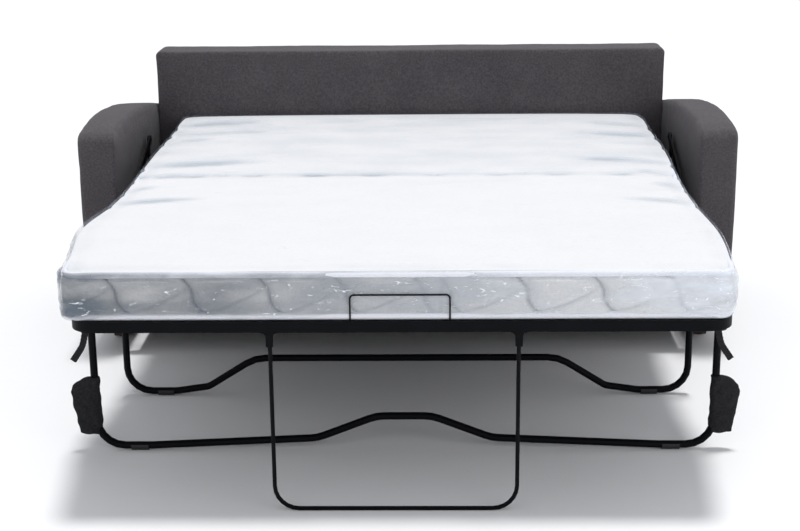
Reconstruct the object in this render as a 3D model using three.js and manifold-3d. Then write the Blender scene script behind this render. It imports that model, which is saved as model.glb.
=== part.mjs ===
// Sleeper sofa with a pull-out bed, shown with the bed open on its three legs.
// Millimetres, +Z up. The front of the sofa faces -Y, and X runs along the seat.
// Places along Y are first counted from the front face of the backrest, which is zero,
// and the whole sofa is shifted at the end so that its origin lies under the middle of its box.

import * as THREE from "three";
import { mergeVertices } from "three/addons/utils/BufferGeometryUtils.js";
import Module from "manifold-3d";

const wasm = await Module();
wasm.setup();

// Fits
const fit = 0.3; // running gap between pieces that touch
const overrun = 5; // how far a cutting body reaches past what it cuts

// Widths, counted from the middle of the sofa out
const bedHalfWidth = 745;
const mattressOverhang = 5;
const legOffset = 35;
const sideClearance = 103;
const armWidth = 107;

// Sofa body
const armFrontY = -711;
const backDepth = 150;
const backTopZ = 815;
const backEdgeRadius = 10;
const baseZ = 64;
const armFrontZ = 671;
const armPeakZ = 690;
const armRearZ = 622;
const armCornerRadius = 34;
const armEdgeRadius = 12;
const frontRailSetback = 9;
const frontRailDepth = 38;
const frontRailTopZ = 190;
const frontRailRadius = 12;
const dustCoverThickness = 1.2;
const dustCoverInset = 28;
const dustCoverRadius = 14;
const footTopSize = 62;
const footBottomSize = 46;
const frontFootInset = 190;
const rearFootInset = 80;
const padHeight = 4;
const padRadius = 19;
const padTaper = 1.5;
const padSink = 2;

// Bed frame: the hinge axes lie at the middle of the rails
const axisZ = 452;
const railHeight = 25;
const railThickness = 13;
const headLength = 505;
const seatLength = 600;
const middleLength = 262;
const footLength = 420;
const headEndGap = 10;
const frameFrontReach = 18;
const frameCornerRadius = 62;
const hingePinRadius = 5;
const pinHeadRadius = 8.5;
const pinHeadHeight = 3;
const crossTubeRadius = 8;
const crossTubeInset = 143;
const earReach = 62;
const deckThickness = 1.5;
const deckEdge = 24;
const deckInset = 1;

// Mattress
const mattressThickness = 112;
const mattressLift = 13;
const mattressFrontSetback = 12;
const mattressRearGap = 4;
const mattressCornerRadius = 60;
const mattressCrown = 4;
const tapeRadius = 6;
const borderDrawIn = 5;

// Bent tube legs
const legTubeRadius = 9.5;
const legPivotDrop = 44;
const legBendRadius = 68;
const saddleBendRadius = 105;
const saddleToeRadius = 36;
const gliderInset = 106;
const gliderLength = 44;
const gliderWall = 3;
const gliderGrip = 3.4;
const rearLegSetback = 64;
const rearSaddleTopHalf = 421;
const rearSaddleFootHalf = 553;
const rearRunRise = 13;
const rearSaddleRise = 96;
const middleLegLead = 63;
const middleSaddleTopHalf = 70;
const middleSaddleFootHalf = 221;
const middleRunRise = 19;
const middleSaddleRise = 78;
const legPinRadius = 5;
const earThickness = 5;
const earMargin = 11;

// Cloth guards on the side tubes of the middle leg
const sleeveBottomZ = 47;
const sleeveTopZ = 198;
const sleeveReach = 52;
const sleeveWall = 3.2;
const sleeveHalfDepth = 15;

// Thin front leg and its brackets
const rodRadius = 5;
const frontLegHalfWidth = 279;
const frontLegOffset = -14;
const frontLegDrop = 25;
const frontLegSetback = 17;
const frontLegBendRadius = 56;
const bracketFlangeWidth = 66;
const bracketFlangeDepth = 27;
const bracketNeckWidth = 17;
const bracketDrop = 38;
const bracketPlate = 2;
const bracketPinRadius = 2.6;
const bracketPinReach = 1;

// Wire bar that keeps the mattress on the frame, and corner straps
const wireRadius = 2;
const wireHalfWidth = 111;
const wireRise = 60;
const wireBendRadius = 9;
const wireSetback = 5;
const strapWidth = 16;
const strapThickness = 2.4;
const strapLength = 72;
const strapSwing = 33;
const strapInset = 38;
const strapSetback = 20;
const strapTabLength = 11;
const strapBendRadius = 60;

// Lift links on each side, which carry the bed over the front rail and down into the sofa
const liftPivotY = -309;
const liftPivotZ = 313.1;
const elbowY = -269.3;
const elbowZ = 574.7;
const seatPivotY = -602.7;
const linkThickness = 5;
const linkHalfWidth = 13;
const linkPinRadius = 6;
const linkPlaneGap = 5;
const sidePlateThickness = 5;
const sidePlateLength = 260;
const sidePlateHeight = 120;

// Places that follow from the sizes above
const innerHalfWidth = bedHalfWidth + sideClearance;
const overallHalfWidth = innerHalfWidth + armWidth;
const legHalfWidth = bedHalfWidth + legOffset;
const mattressHalfWidth = bedHalfWidth + mattressOverhang;
const frameFrontY = -(headEndGap + headLength + seatLength + middleLength + footLength + frameFrontReach);
const mattressFrontY = frameFrontY + mattressFrontSetback;
const mattressRearY = -(headEndGap + mattressRearGap);
const headHingeY = -(headEndGap + headLength);
const middleHingeY = headHingeY - seatLength;
const footHingeY = middleHingeY - middleLength;
const railHalfHeight = railHeight / 2;
const outerRailInside = bedHalfWidth - railThickness;
const innerRailOutside = outerRailInside - fit;
const innerRailInside = innerRailOutside - railThickness;
const frameTopZ = axisZ + railHalfHeight;
const legPivotZ = axisZ - legPivotDrop;
const legFloorZ = legTubeRadius + gliderWall;
const depthMiddle = (frameFrontY + backDepth) / 2;

// Colours and finishes
const charcoalFabric = { color: 0x484448, roughness: 0.95, metalness: 0 };
const blackPaint = { color: 0x0d0f13, roughness: 0.45, metalness: 0.3 };
const zincSteel = { color: 0x8c8f94, roughness: 0.4, metalness: 0.9 };
const mattressTicking = { color: 0xf2f4f7, roughness: 0.85, metalness: 0 };
const deckCloth = { color: 0x2a2c30, roughness: 0.9, metalness: 0 };
const blackWebbing = { color: 0x17181b, roughness: 0.9, metalness: 0 };
const blackPlastic = { color: 0x15161a, roughness: 0.6, metalness: 0 };
const darkWood = { color: 0x2b211c, roughness: 0.6, metalness: 0 };

const sofa = new THREE.Group();

// Solid work: three.js geometry in, one closed geometry out
function solid(geometry) {
  const bare = geometry.clone();
  bare.deleteAttribute("normal");
  bare.deleteAttribute("uv");
  const merged = mergeVertices(bare, 1e-4);
  return new wasm.Manifold(
    new wasm.Mesh({
      numProp: 3,
      vertProperties: new Float32Array(merged.attributes.position.array),
      triVerts: new Uint32Array(merged.index.array),
    }),
  );
}

function geometryOf(body) {
  const mesh = body.getMesh();
  const geometry = new THREE.BufferGeometry();
  geometry.setAttribute("position", new THREE.BufferAttribute(new Float32Array(mesh.vertProperties), 3));
  geometry.setIndex(new THREE.BufferAttribute(new Uint32Array(mesh.triVerts), 1));
  geometry.computeVertexNormals();
  return geometry;
}

function join(bodies) {
  return bodies.reduce((sum, body) => sum.add(body));
}

function place(name, body, finish) {
  const mesh = new THREE.Mesh(geometryOf(body), new THREE.MeshStandardMaterial(finish));
  mesh.name = name;
  sofa.add(mesh);
}

// Prisms: an outline drawn in two world axes and pushed along the third
const drawnInYZ = new THREE.Matrix4().set(0, 0, 1, 0, 1, 0, 0, 0, 0, 1, 0, 0, 0, 0, 0, 1);
const drawnInXZ = new THREE.Matrix4().set(1, 0, 0, 0, 0, 0, -1, 0, 0, 1, 0, 0, 0, 0, 0, 1);

function extruded(outline, depth, curveSegments) {
  return new THREE.ExtrudeGeometry(outline, { depth, bevelEnabled: false, curveSegments });
}

function alongX(outline, fromX, toX, curveSegments = 6) {
  const geometry = extruded(outline, toX - fromX, curveSegments).applyMatrix4(drawnInYZ);
  return solid(geometry.translate(fromX, 0, 0));
}

function alongY(outline, fromY, toY, curveSegments = 6) {
  const geometry = extruded(outline, toY - fromY, curveSegments).applyMatrix4(drawnInXZ);
  return solid(geometry.translate(0, toY, 0));
}

function alongZ(outline, fromZ, toZ, curveSegments = 6) {
  return solid(extruded(outline, toZ - fromZ, curveSegments).translate(0, 0, fromZ));
}

// The same prisms with every edge rounded over
function softAlongX(outline, fromX, toX, radius) {
  const geometry = new THREE.ExtrudeGeometry(outline, {
    depth: toX - fromX - 2 * radius,
    bevelEnabled: true,
    bevelThickness: radius,
    bevelSize: radius,
    bevelOffset: -radius,
    bevelSegments: 3,
    curveSegments: 6,
  });
  return solid(geometry.applyMatrix4(drawnInYZ).translate(fromX + radius, 0, 0));
}

function softAlongY(outline, fromY, toY, radius) {
  const geometry = new THREE.ExtrudeGeometry(outline, {
    depth: toY - fromY - 2 * radius,
    bevelEnabled: true,
    bevelThickness: radius,
    bevelSize: radius,
    bevelOffset: -radius,
    bevelSegments: 3,
    curveSegments: 6,
  });
  return solid(geometry.applyMatrix4(drawnInXZ).translate(0, toY - radius, 0));
}

function rectangle(low1, low2, high1, high2, radius = 0) {
  const shape = new THREE.Shape();
  if (radius === 0) {
    shape.moveTo(low1, low2).lineTo(high1, low2).lineTo(high1, high2).lineTo(low1, high2);
    shape.closePath();
    return shape;
  }
  shape.moveTo(low1 + radius, low2);
  shape.lineTo(high1 - radius, low2);
  shape.absarc(high1 - radius, low2 + radius, radius, -Math.PI / 2, 0, false);
  shape.lineTo(high1, high2 - radius);
  shape.absarc(high1 - radius, high2 - radius, radius, 0, Math.PI / 2, false);
  shape.lineTo(low1 + radius, high2);
  shape.absarc(low1 + radius, high2 - radius, radius, Math.PI / 2, Math.PI, false);
  shape.lineTo(low1, low2 + radius);
  shape.absarc(low1 + radius, low2 + radius, radius, Math.PI, 1.5 * Math.PI, false);
  return shape;
}

function disc(center1, center2, radius) {
  return new THREE.Shape().absarc(center1, center2, radius, 0, 2 * Math.PI, false);
}

// A bar with round ends between two points, drawn in the YZ plane
function barOutline(fromY, fromZ, toY, toZ, halfWidth) {
  const turn = Math.atan2(toZ - fromZ, toY - fromY);
  const shape = new THREE.Shape();
  shape.absarc(toY, toZ, halfWidth, turn - Math.PI / 2, turn + Math.PI / 2, false);
  shape.absarc(fromY, fromZ, halfWidth, turn + Math.PI / 2, turn + 1.5 * Math.PI, false);
  shape.closePath();
  return shape;
}

function addHole(outline, center1, center2, radius) {
  outline.holes.push(new THREE.Path().absarc(center1, center2, radius, 0, 2 * Math.PI, true));
}

function rodAlongX(fromX, toX, y, z, radius) {
  return alongX(disc(y, z, radius), fromX, toX, 8);
}

// Bent tubes: a centre line with rounded corners in one upright plane, swept by a round section
function roundedLine(corners, radii, stepsPerBend) {
  const points = [corners[0].clone()];
  for (let i = 1; i < corners.length - 1; i++) {
    const before = corners[i - 1].clone().sub(corners[i]).normalize();
    const after = corners[i + 1].clone().sub(corners[i]).normalize();
    const halfTurn = Math.acos(THREE.MathUtils.clamp(before.dot(after), -1, 1)) / 2;
    const reach = radii[i - 1] / Math.tan(halfTurn);
    const start = corners[i].clone().addScaledVector(before, reach);
    const end = corners[i].clone().addScaledVector(after, reach);
    const inward = before.clone().add(after).normalize();
    const center = corners[i].clone().addScaledVector(inward, radii[i - 1] / Math.sin(halfTurn));
    const arm = start.clone().sub(center);
    const other = end.clone().sub(center);
    const sweep = arm.angleTo(other);
    const steps = Math.max(2, Math.round((2 * stepsPerBend * sweep) / Math.PI));
    for (let step = 0; step <= steps; step++) {
      const share = step / steps;
      const weightA = Math.sin((1 - share) * sweep) / Math.sin(sweep);
      const weightB = Math.sin(share * sweep) / Math.sin(sweep);
      points.push(center.clone().addScaledVector(arm, weightA).addScaledVector(other, weightB));
    }
  }
  points.push(corners[corners.length - 1].clone());
  return points;
}

function sweptTube(points, planeNormal, radius, sides) {
  const positions = [];
  const index = [];
  points.forEach((point, i) => {
    const into = i > 0 ? point.clone().sub(points[i - 1]).normalize() : null;
    const out = i < points.length - 1 ? points[i + 1].clone().sub(point).normalize() : null;
    const tangent = (into ?? out).clone().add(out ?? into).normalize();
    const side = new THREE.Vector3().crossVectors(planeNormal, tangent).normalize();
    const stretch = into && out ? 1 / Math.sqrt((1 + into.dot(out)) / 2) : 1;
    for (let k = 0; k < sides; k++) {
      const angle = (2 * Math.PI * (k + 0.5)) / sides;
      const place = point.clone().addScaledVector(planeNormal, radius * Math.sin(angle));
      place.addScaledVector(side, radius * stretch * Math.cos(angle));
      positions.push(place.x, place.y, place.z);
    }
  });
  const rings = points.length;
  for (let i = 0; i < rings - 1; i++) {
    for (let k = 0; k < sides; k++) {
      const a = i * sides + k;
      const b = i * sides + ((k + 1) % sides);
      index.push(a, b, a + sides, b, b + sides, a + sides);
    }
  }
  for (let k = 1; k < sides - 1; k++) {
    index.push(0, k + 1, k);
    const last = (rings - 1) * sides;
    index.push(last, last + k, last + k + 1);
  }
  const geometry = new THREE.BufferGeometry();
  geometry.setAttribute("position", new THREE.BufferAttribute(new Float32Array(positions), 3));
  geometry.setIndex(index);
  const body = solid(geometry);
  if (body.volume() > 0) return body;
  for (let i = 0; i < index.length; i += 3) {
    [index[i + 1], index[i + 2]] = [index[i + 2], index[i + 1]];
  }
  geometry.setIndex(index);
  return solid(geometry);
}

const tubeSides = 10;
const bendSteps = 5;
const acrossY = new THREE.Vector3(0, 1, 0);

// Sofa body
function armOutline() {
  const rearY = backDepth;
  const length = rearY - armFrontY;
  const shape = new THREE.Shape();
  shape.moveTo(armFrontY, baseZ);
  shape.lineTo(rearY, baseZ);
  shape.lineTo(rearY, armRearZ - armCornerRadius);
  shape.quadraticCurveTo(rearY, armRearZ, rearY - armCornerRadius, armRearZ);
  const peakShare = 0.3;
  const hollowShare = 0.3;
  const shoulderShare = 0.75;
  shape.bezierCurveTo(
    rearY - length * hollowShare,
    armRearZ + (armPeakZ - armRearZ) * shoulderShare,
    armFrontY + length * (peakShare + hollowShare / 3),
    armPeakZ,
    armFrontY + length * peakShare,
    armPeakZ,
  );
  shape.quadraticCurveTo(
    armFrontY + (length * peakShare) / 2,
    armPeakZ,
    armFrontY + armCornerRadius,
    armFrontZ,
  );
  shape.quadraticCurveTo(armFrontY, armFrontZ - armCornerRadius / 4, armFrontY, armFrontZ - armCornerRadius);
  shape.closePath();
  return shape;
}

function makeArms() {
  const outline = armOutline();
  place("left_arm", softAlongX(outline, -overallHalfWidth, -innerHalfWidth, armEdgeRadius), charcoalFabric);
  place("right_arm", softAlongX(outline, innerHalfWidth, overallHalfWidth, armEdgeRadius), charcoalFabric);
}

function makeBackrest() {
  const half = innerHalfWidth - fit;
  const outline = rectangle(-half, baseZ, half, backTopZ, backEdgeRadius * 2);
  place("backrest", softAlongY(outline, 0, backDepth, backEdgeRadius), charcoalFabric);
}

function makeFrontRail() {
  const frontY = armFrontY + frontRailSetback;
  const outline = new THREE.Shape();
  outline.moveTo(frontY, baseZ);
  outline.lineTo(frontY + frontRailDepth, baseZ);
  outline.lineTo(frontY + frontRailDepth, frontRailTopZ - frontRailRadius);
  outline.absarc(
    frontY + frontRailDepth - frontRailRadius,
    frontRailTopZ - frontRailRadius,
    frontRailRadius,
    0,
    Math.PI / 2,
    false,
  );
  outline.lineTo(frontY + frontRailRadius, frontRailTopZ);
  outline.absarc(
    frontY + frontRailRadius,
    frontRailTopZ - frontRailRadius,
    frontRailRadius,
    Math.PI / 2,
    Math.PI,
    false,
  );
  outline.closePath();
  place("front_rail", alongX(outline, -innerHalfWidth + fit, innerHalfWidth - fit), charcoalFabric);
}

function makeDustCover() {
  const half = innerHalfWidth - dustCoverInset;
  const frontY = armFrontY + frontRailSetback + frontRailRadius;
  const outline = rectangle(-half, frontY, half, backDepth / 2, dustCoverRadius);
  place("dust_cover", alongZ(outline, baseZ - fit - dustCoverThickness, baseZ - fit), deckCloth);
}

function makeFeet() {
  const x = innerHalfWidth + armWidth / 2;
  const places = [
    ["front_left_foot", -x, armFrontY + frontFootInset],
    ["front_right_foot", x, armFrontY + frontFootInset],
    ["rear_left_foot", -x, backDepth - rearFootInset],
    ["rear_right_foot", x, backDepth - rearFootInset],
  ];
  for (const [name, atX, atY] of places) {
    const height = baseZ - fit;
    const taper = new THREE.CylinderGeometry(
      footTopSize / Math.SQRT2,
      footBottomSize / Math.SQRT2,
      height - padHeight,
      4,
    );
    taper.rotateY(Math.PI / 4).rotateX(Math.PI / 2);
    taper.translate(atX, atY, padHeight + (height - padHeight) / 2);
    const padTall = padHeight + padSink;
    const pad = new THREE.CylinderGeometry(padRadius, padRadius - padTaper, padTall, 16);
    pad.rotateX(Math.PI / 2).translate(atX, atY, padTall / 2);
    place(name, solid(taper).add(solid(pad)), darkWood);
  }
}

// Bed frame sections: a plan outline cut to the side shape of rails with round lapped ends
function sectionRails(insideX, outsideX, rearY, frontY, holes) {
  const outline = barOutline(frontY, axisZ, rearY, axisZ, railHalfHeight);
  holes.forEach(([y, z, radius]) => addHole(outline, y, z, radius + fit));
  return [-1, 1].map((side) => {
    const low = side < 0 ? -outsideX : insideX;
    const high = side < 0 ? -insideX : outsideX;
    return alongX(outline, low, high);
  });
}

function crossTube(halfLength, y) {
  return rodAlongX(-halfLength, halfLength, y, axisZ, crossTubeRadius);
}

function deckSheet(halfWidth, rearY, frontY) {
  const lowZ = axisZ + crossTubeRadius + fit;
  return alongZ(rectangle(-halfWidth, frontY, halfWidth, rearY, deckEdge / 3), lowZ, lowZ + deckThickness);
}

function makeHeadSection() {
  const rearY = -headEndGap - railHalfHeight;
  const rails = sectionRails(innerRailInside, innerRailOutside, rearY, headHingeY, [
    [headHingeY, axisZ, hingePinRadius],
  ]);
  const tubes = [rearY - railHalfHeight, headHingeY + crossTubeInset].map((y) =>
    crossTube(innerRailInside + railThickness / 2, y),
  );
  place("head_frame", join([...rails, ...tubes]), blackPaint);
  const edge = railThickness + railHalfHeight;
  place("head_deck", deckSheet(innerRailInside - deckInset, rearY - crossTubeRadius, headHingeY + edge), deckCloth);
}

function makeSeatSection() {
  const earY = middleHingeY + rearLegSetback;
  const rails = sectionRails(outerRailInside, bedHalfWidth, headHingeY, middleHingeY, [
    [headHingeY, axisZ, hingePinRadius],
    [middleHingeY, axisZ, hingePinRadius],
    [seatPivotY, axisZ, linkPinRadius],
  ]);
  const tubes = [headHingeY - crossTubeInset, middleHingeY + crossTubeInset].map((y) =>
    crossTube(outerRailInside + railThickness / 2, y),
  );
  const ears = [-1, 1].map((side) => legEar(side, earY, legPivotZ, earY, axisZ, 0));
  place("seat_frame", join([...rails, ...tubes, ...ears]), blackPaint);
  const edge = railThickness + railHalfHeight;
  place("seat_deck", deckSheet(outerRailInside - deckInset, headHingeY - edge, middleHingeY + edge), deckCloth);
}

// A plate on the outer face of a rail that hangs down to a leg pivot
function legEar(side, pivotY, pivotZ, rootY, rootZ, gap) {
  const outline = barOutline(pivotY, pivotZ, rootY, rootZ, earMargin);
  addHole(outline, pivotY, pivotZ, legPinRadius + fit);
  const inner = bedHalfWidth + gap;
  const low = side < 0 ? -(inner + earThickness) : inner;
  return alongX(outline, low, low + earThickness);
}

function makeMiddleSection() {
  const rails = sectionRails(innerRailInside, innerRailOutside, middleHingeY, footHingeY, [
    [middleHingeY, axisZ, hingePinRadius],
    [footHingeY, axisZ, hingePinRadius],
  ]);
  const tube = crossTube(innerRailInside + railThickness / 2, (middleHingeY + footHingeY) / 2);
  const ears = [-1, 1].map((side) => {
    const rootY = footHingeY + earReach;
    const plate = legEar(side, footHingeY - middleLegLead, legPivotZ, rootY, axisZ, fit);
    const blockLow = side < 0 ? -(bedHalfWidth + 2 * fit) : innerRailOutside - fit;
    const block = alongX(disc(rootY, axisZ, earMargin), blockLow, blockLow + railThickness + 4 * fit);
    return plate.add(block);
  });
  place("middle_frame", join([...rails, tube, ...ears]), blackPaint);
  const edge = railThickness + railHalfHeight;
  place("middle_deck", deckSheet(innerRailInside - deckInset, middleHingeY - edge, footHingeY + edge), deckCloth);
}

function makeFootSection() {
  const plan = new THREE.Shape();
  const rearY = footHingeY + railHalfHeight;
  const round = frameCornerRadius;
  plan.moveTo(-bedHalfWidth, rearY);
  plan.lineTo(-bedHalfWidth, frameFrontY + round);
  plan.absarc(-bedHalfWidth + round, frameFrontY + round, round, Math.PI, 1.5 * Math.PI, false);
  plan.lineTo(bedHalfWidth - round, frameFrontY);
  plan.absarc(bedHalfWidth - round, frameFrontY + round, round, -Math.PI / 2, 0, false);
  plan.lineTo(bedHalfWidth, rearY);
  plan.lineTo(outerRailInside, rearY);
  plan.lineTo(outerRailInside, frameFrontY + round);
  plan.absarc(bedHalfWidth - round, frameFrontY + round, round - railThickness, 0, -Math.PI / 2, true);
  plan.lineTo(-bedHalfWidth + round, frameFrontY + railThickness);
  plan.absarc(
    -bedHalfWidth + round,
    frameFrontY + round,
    round - railThickness,
    1.5 * Math.PI,
    Math.PI,
    true,
  );
  plan.lineTo(-outerRailInside, rearY);
  plan.closePath();
  const side = new THREE.Shape();
  side.absarc(footHingeY, axisZ, railHalfHeight, -Math.PI / 2, Math.PI / 2, false);
  side.lineTo(frameFrontY - overrun, axisZ + railHalfHeight);
  side.lineTo(frameFrontY - overrun, axisZ - railHalfHeight);
  side.closePath();
  addHole(side, footHingeY, axisZ, hingePinRadius + fit);
  const rail = alongZ(plan, axisZ - railHeight, axisZ + railHeight).intersect(
    alongX(side, -bedHalfWidth - overrun, bedHalfWidth + overrun),
  );
  const tube = crossTube(outerRailInside + railThickness / 2, footHingeY - crossTubeInset);
  place("foot_frame", rail.add(tube), blackPaint);
  const edge = railThickness + railHalfHeight;
  place("foot_deck", deckSheet(outerRailInside - deckInset, footHingeY - edge, frameFrontY + 2 * edge), deckCloth);
}

function makeHingePins() {
  const places = [
    ["head_hinge_pin", headHingeY],
    ["middle_hinge_pin", middleHingeY],
    ["foot_hinge_pin", footHingeY],
  ];
  for (const [name, y] of places) {
    for (const [sideName, side] of [
      ["left", -1],
      ["right", 1],
    ]) {
      const inner = innerRailInside - fit;
      const outer = bedHalfWidth + fit;
      const body = join([
        rodAlongX(inner - pinHeadHeight, outer + pinHeadHeight, y, axisZ, hingePinRadius),
        rodAlongX(inner - pinHeadHeight, inner, y, axisZ, pinHeadRadius),
        rodAlongX(outer, outer + pinHeadHeight, y, axisZ, pinHeadRadius),
      ]);
      place(`${name}_${sideName}`, side < 0 ? mirrored(body) : body, zincSteel);
    }
  }
}

function mirrored(body) {
  const geometry = geometryOf(body);
  geometry.scale(-1, 1, 1);
  const index = geometry.index.array;
  for (let i = 0; i < index.length; i += 3) {
    [index[i + 1], index[i + 2]] = [index[i + 2], index[i + 1]];
  }
  return solid(geometry);
}

// Mattress: one sewn block with tape-edged sides, mitred where the bed folds
function mattressRing(inset) {
  const half = mattressHalfWidth - inset;
  const radius = mattressCornerRadius - inset;
  const low = mattressFrontY + inset;
  const high = mattressRearY - inset;
  return rectangle(-half, low, half, high, radius).extractPoints(5).shape;
}

function mattressBlock() {
  const lowZ = axisZ + mattressLift;
  const highZ = lowZ + mattressThickness - mattressCrown;
  const rings = [];
  const tapeSteps = 4;
  for (let step = 0; step <= tapeSteps; step++) {
    const turn = -Math.PI / 2 + (Math.PI * step) / tapeSteps;
    rings.push([tapeRadius * (1 - Math.cos(turn)), lowZ + tapeRadius * (1 + Math.sin(turn))]);
  }
  const borderLow = lowZ + 2 * tapeRadius;
  const borderHigh = highZ - 2 * tapeRadius;
  const borderSteps = 4;
  for (let step = 0; step <= borderSteps; step++) {
    const share = step / borderSteps;
    const bulge = Math.sin(Math.PI * share);
    rings.push([
      tapeRadius + borderDrawIn * (1 - bulge),
      borderLow + (borderHigh - borderLow) * share + (step === 0 ? fit : 0) - (step === borderSteps ? fit : 0),
    ]);
  }
  for (let step = 0; step <= tapeSteps; step++) {
    const turn = -Math.PI / 2 + (Math.PI * step) / tapeSteps;
    rings.push([tapeRadius * (1 - Math.cos(turn)), borderHigh + tapeRadius * (1 + Math.sin(turn))]);
  }
  const crownShares = [0.1, 0.3, 0.6, 1];
  const crownReach = mattressCornerRadius - 2 * tapeRadius;
  for (const share of crownShares) {
    const rise = mattressCrown * Math.sin((Math.PI / 2) * share);
    rings.push([tapeRadius + crownReach * share, highZ + rise]);
  }
  return stackedRings(rings.map(([inset, z]) => [mattressRing(inset), z]));
}

// A closed body from outlines with the same number of points, stacked upwards
function stackedRings(rings) {
  const count = rings[0][0].length;
  const positions = [];
  const index = [];
  for (const [points, z] of rings) {
    points.forEach((point) => positions.push(point.x, point.y, z));
  }
  for (let i = 0; i < rings.length - 1; i++) {
    for (let k = 0; k < count; k++) {
      const a = i * count + k;
      const b = i * count + ((k + 1) % count);
      index.push(a, b, a + count, b, b + count, a + count);
    }
  }
  const last = (rings.length - 1) * count;
  for (let k = 1; k < count - 1; k++) {
    index.push(0, k + 1, k);
    index.push(last, last + k, last + k + 1);
  }
  const geometry = new THREE.BufferGeometry();
  geometry.setAttribute("position", new THREE.BufferAttribute(new Float32Array(positions), 3));
  geometry.setIndex(index);
  return solid(geometry);
}

function makeMattress() {
  const block = mattressBlock();
  const lowZ = axisZ + mattressLift - overrun;
  const highZ = axisZ + mattressLift + mattressThickness + overrun;
  const folds = [
    ["head", headHingeY],
    ["middle", middleHingeY],
    ["foot", footHingeY],
  ];
  const lowSpread = lowZ - axisZ;
  const highSpread = highZ - axisZ;
  const gap = fit * Math.SQRT2;
  const slab = (rearY, rearMitred, frontY, frontMitred) => {
    const outline = new THREE.Shape();
    outline.moveTo(frontY + (frontMitred ? lowSpread + gap : -overrun), lowZ);
    outline.lineTo(rearY - (rearMitred ? lowSpread + gap : -overrun), lowZ);
    outline.lineTo(rearY - (rearMitred ? highSpread + gap : -overrun), highZ);
    outline.lineTo(frontY + (frontMitred ? highSpread + gap : -overrun), highZ);
    outline.closePath();
    return alongX(outline, -mattressHalfWidth - overrun, mattressHalfWidth + overrun).intersect(block);
  };
  place("mattress_head", slab(0, false, headHingeY, true), mattressTicking);
  place("mattress_seat", slab(headHingeY, true, middleHingeY, true), mattressTicking);
  place("mattress_middle", slab(middleHingeY, true, footHingeY, true), mattressTicking);
  place("mattress_foot", slab(footHingeY, true, mattressFrontY, false), mattressTicking);
  for (const [name, y] of folds) {
    const outline = new THREE.Shape();
    outline.moveTo(y - lowSpread, lowZ);
    outline.lineTo(y + lowSpread, lowZ);
    outline.lineTo(y + highSpread, highZ);
    outline.lineTo(y - highSpread, highZ);
    outline.closePath();
    const wedge = alongX(outline, -mattressHalfWidth - overrun, mattressHalfWidth + overrun);
    place(`mattress_${name}_crease`, wedge.intersect(block), mattressTicking);
  }
}

// Bent tube legs: the low run climbs a little from the glides to the saddle in the middle
const rearSaddle = {
  topHalf: rearSaddleTopHalf,
  footHalf: rearSaddleFootHalf,
  runRise: rearRunRise,
  topRise: rearSaddleRise,
  toeRadius: saddleToeRadius,
};
const middleSaddle = {
  topHalf: middleSaddleTopHalf,
  footHalf: middleSaddleFootHalf,
  runRise: middleRunRise,
  topRise: middleSaddleRise,
  toeRadius: saddleBendRadius,
};

function legLine(pivotY, saddle) {
  const gliderEnd = legHalfWidth - gliderInset - gliderLength / 2 - legTubeRadius;
  const half = [
    [legHalfWidth, legPivotZ],
    [legHalfWidth, legFloorZ],
    [gliderEnd, legFloorZ],
    [saddle.footHalf, legFloorZ + saddle.runRise],
    [saddle.topHalf, legFloorZ + saddle.topRise],
  ];
  const other = half.map(([x, z]) => [-x, z]).reverse();
  const corners = [...half, ...other].map(([x, z]) => new THREE.Vector3(x, pivotY, z));
  const bends = [legBendRadius, saddleBendRadius, saddle.toeRadius, saddleBendRadius];
  return roundedLine(corners, [...bends, ...bends.slice().reverse()], bendSteps);
}

function legTube(pivotY, saddle) {
  const tube = sweptTube(legLine(pivotY, saddle), acrossY, legTubeRadius, tubeSides);
  const eyes = [-1, 1].map((side) => {
    const low = side * legHalfWidth - legTubeRadius;
    return rodAlongX(low, low + 2 * legTubeRadius, pivotY, legPivotZ, legTubeRadius + fit);
  });
  const holes = [-1, 1].map((side) => {
    const low = side * legHalfWidth - legTubeRadius - overrun;
    return rodAlongX(low, low + 2 * (legTubeRadius + overrun), pivotY, legPivotZ, legPinRadius + fit);
  });
  return tube.add(join(eyes)).subtract(join(holes));
}

function makeLeg(name, pivotY, saddle) {
  place(name, legTube(pivotY, saddle), blackPaint);
  for (const [sideName, side] of [
    ["left", -1],
    ["right", 1],
  ]) {
    place(`${name}_glide_${sideName}`, glide(side * (legHalfWidth - gliderInset), pivotY), blackPlastic);
    place(`${name}_pin_${sideName}`, legPin(side, pivotY), zincSteel);
  }
}

// A plastic shoe that clips round the underside of the tube
function glide(x, y) {
  const outer = legTubeRadius + gliderWall;
  const inner = legTubeRadius + fit;
  const gripTurn = Math.asin(gliderGrip / inner);
  const outline = new THREE.Shape();
  outline.absarc(y, legFloorZ, outer, Math.PI - gripTurn, gripTurn, false);
  outline.absarc(y, legFloorZ, inner, gripTurn, Math.PI - gripTurn, true);
  outline.closePath();
  return alongX(outline, x - gliderLength / 2, x + gliderLength / 2, 10);
}

function legPin(side, y) {
  const inner = bedHalfWidth - fit;
  const outer = legHalfWidth + legTubeRadius + fit;
  const body = join([
    rodAlongX(inner - pinHeadHeight, outer + pinHeadHeight, y, legPivotZ, legPinRadius),
    rodAlongX(inner - pinHeadHeight, inner, y, legPivotZ, pinHeadRadius),
    rodAlongX(outer, outer + pinHeadHeight, y, legPivotZ, pinHeadRadius),
    rodAlongX(bedHalfWidth + earThickness + 2 * fit, legHalfWidth - legTubeRadius - fit, y, legPivotZ, pinHeadRadius),
  ]);
  return side < 0 ? mirrored(body) : body;
}

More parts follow.
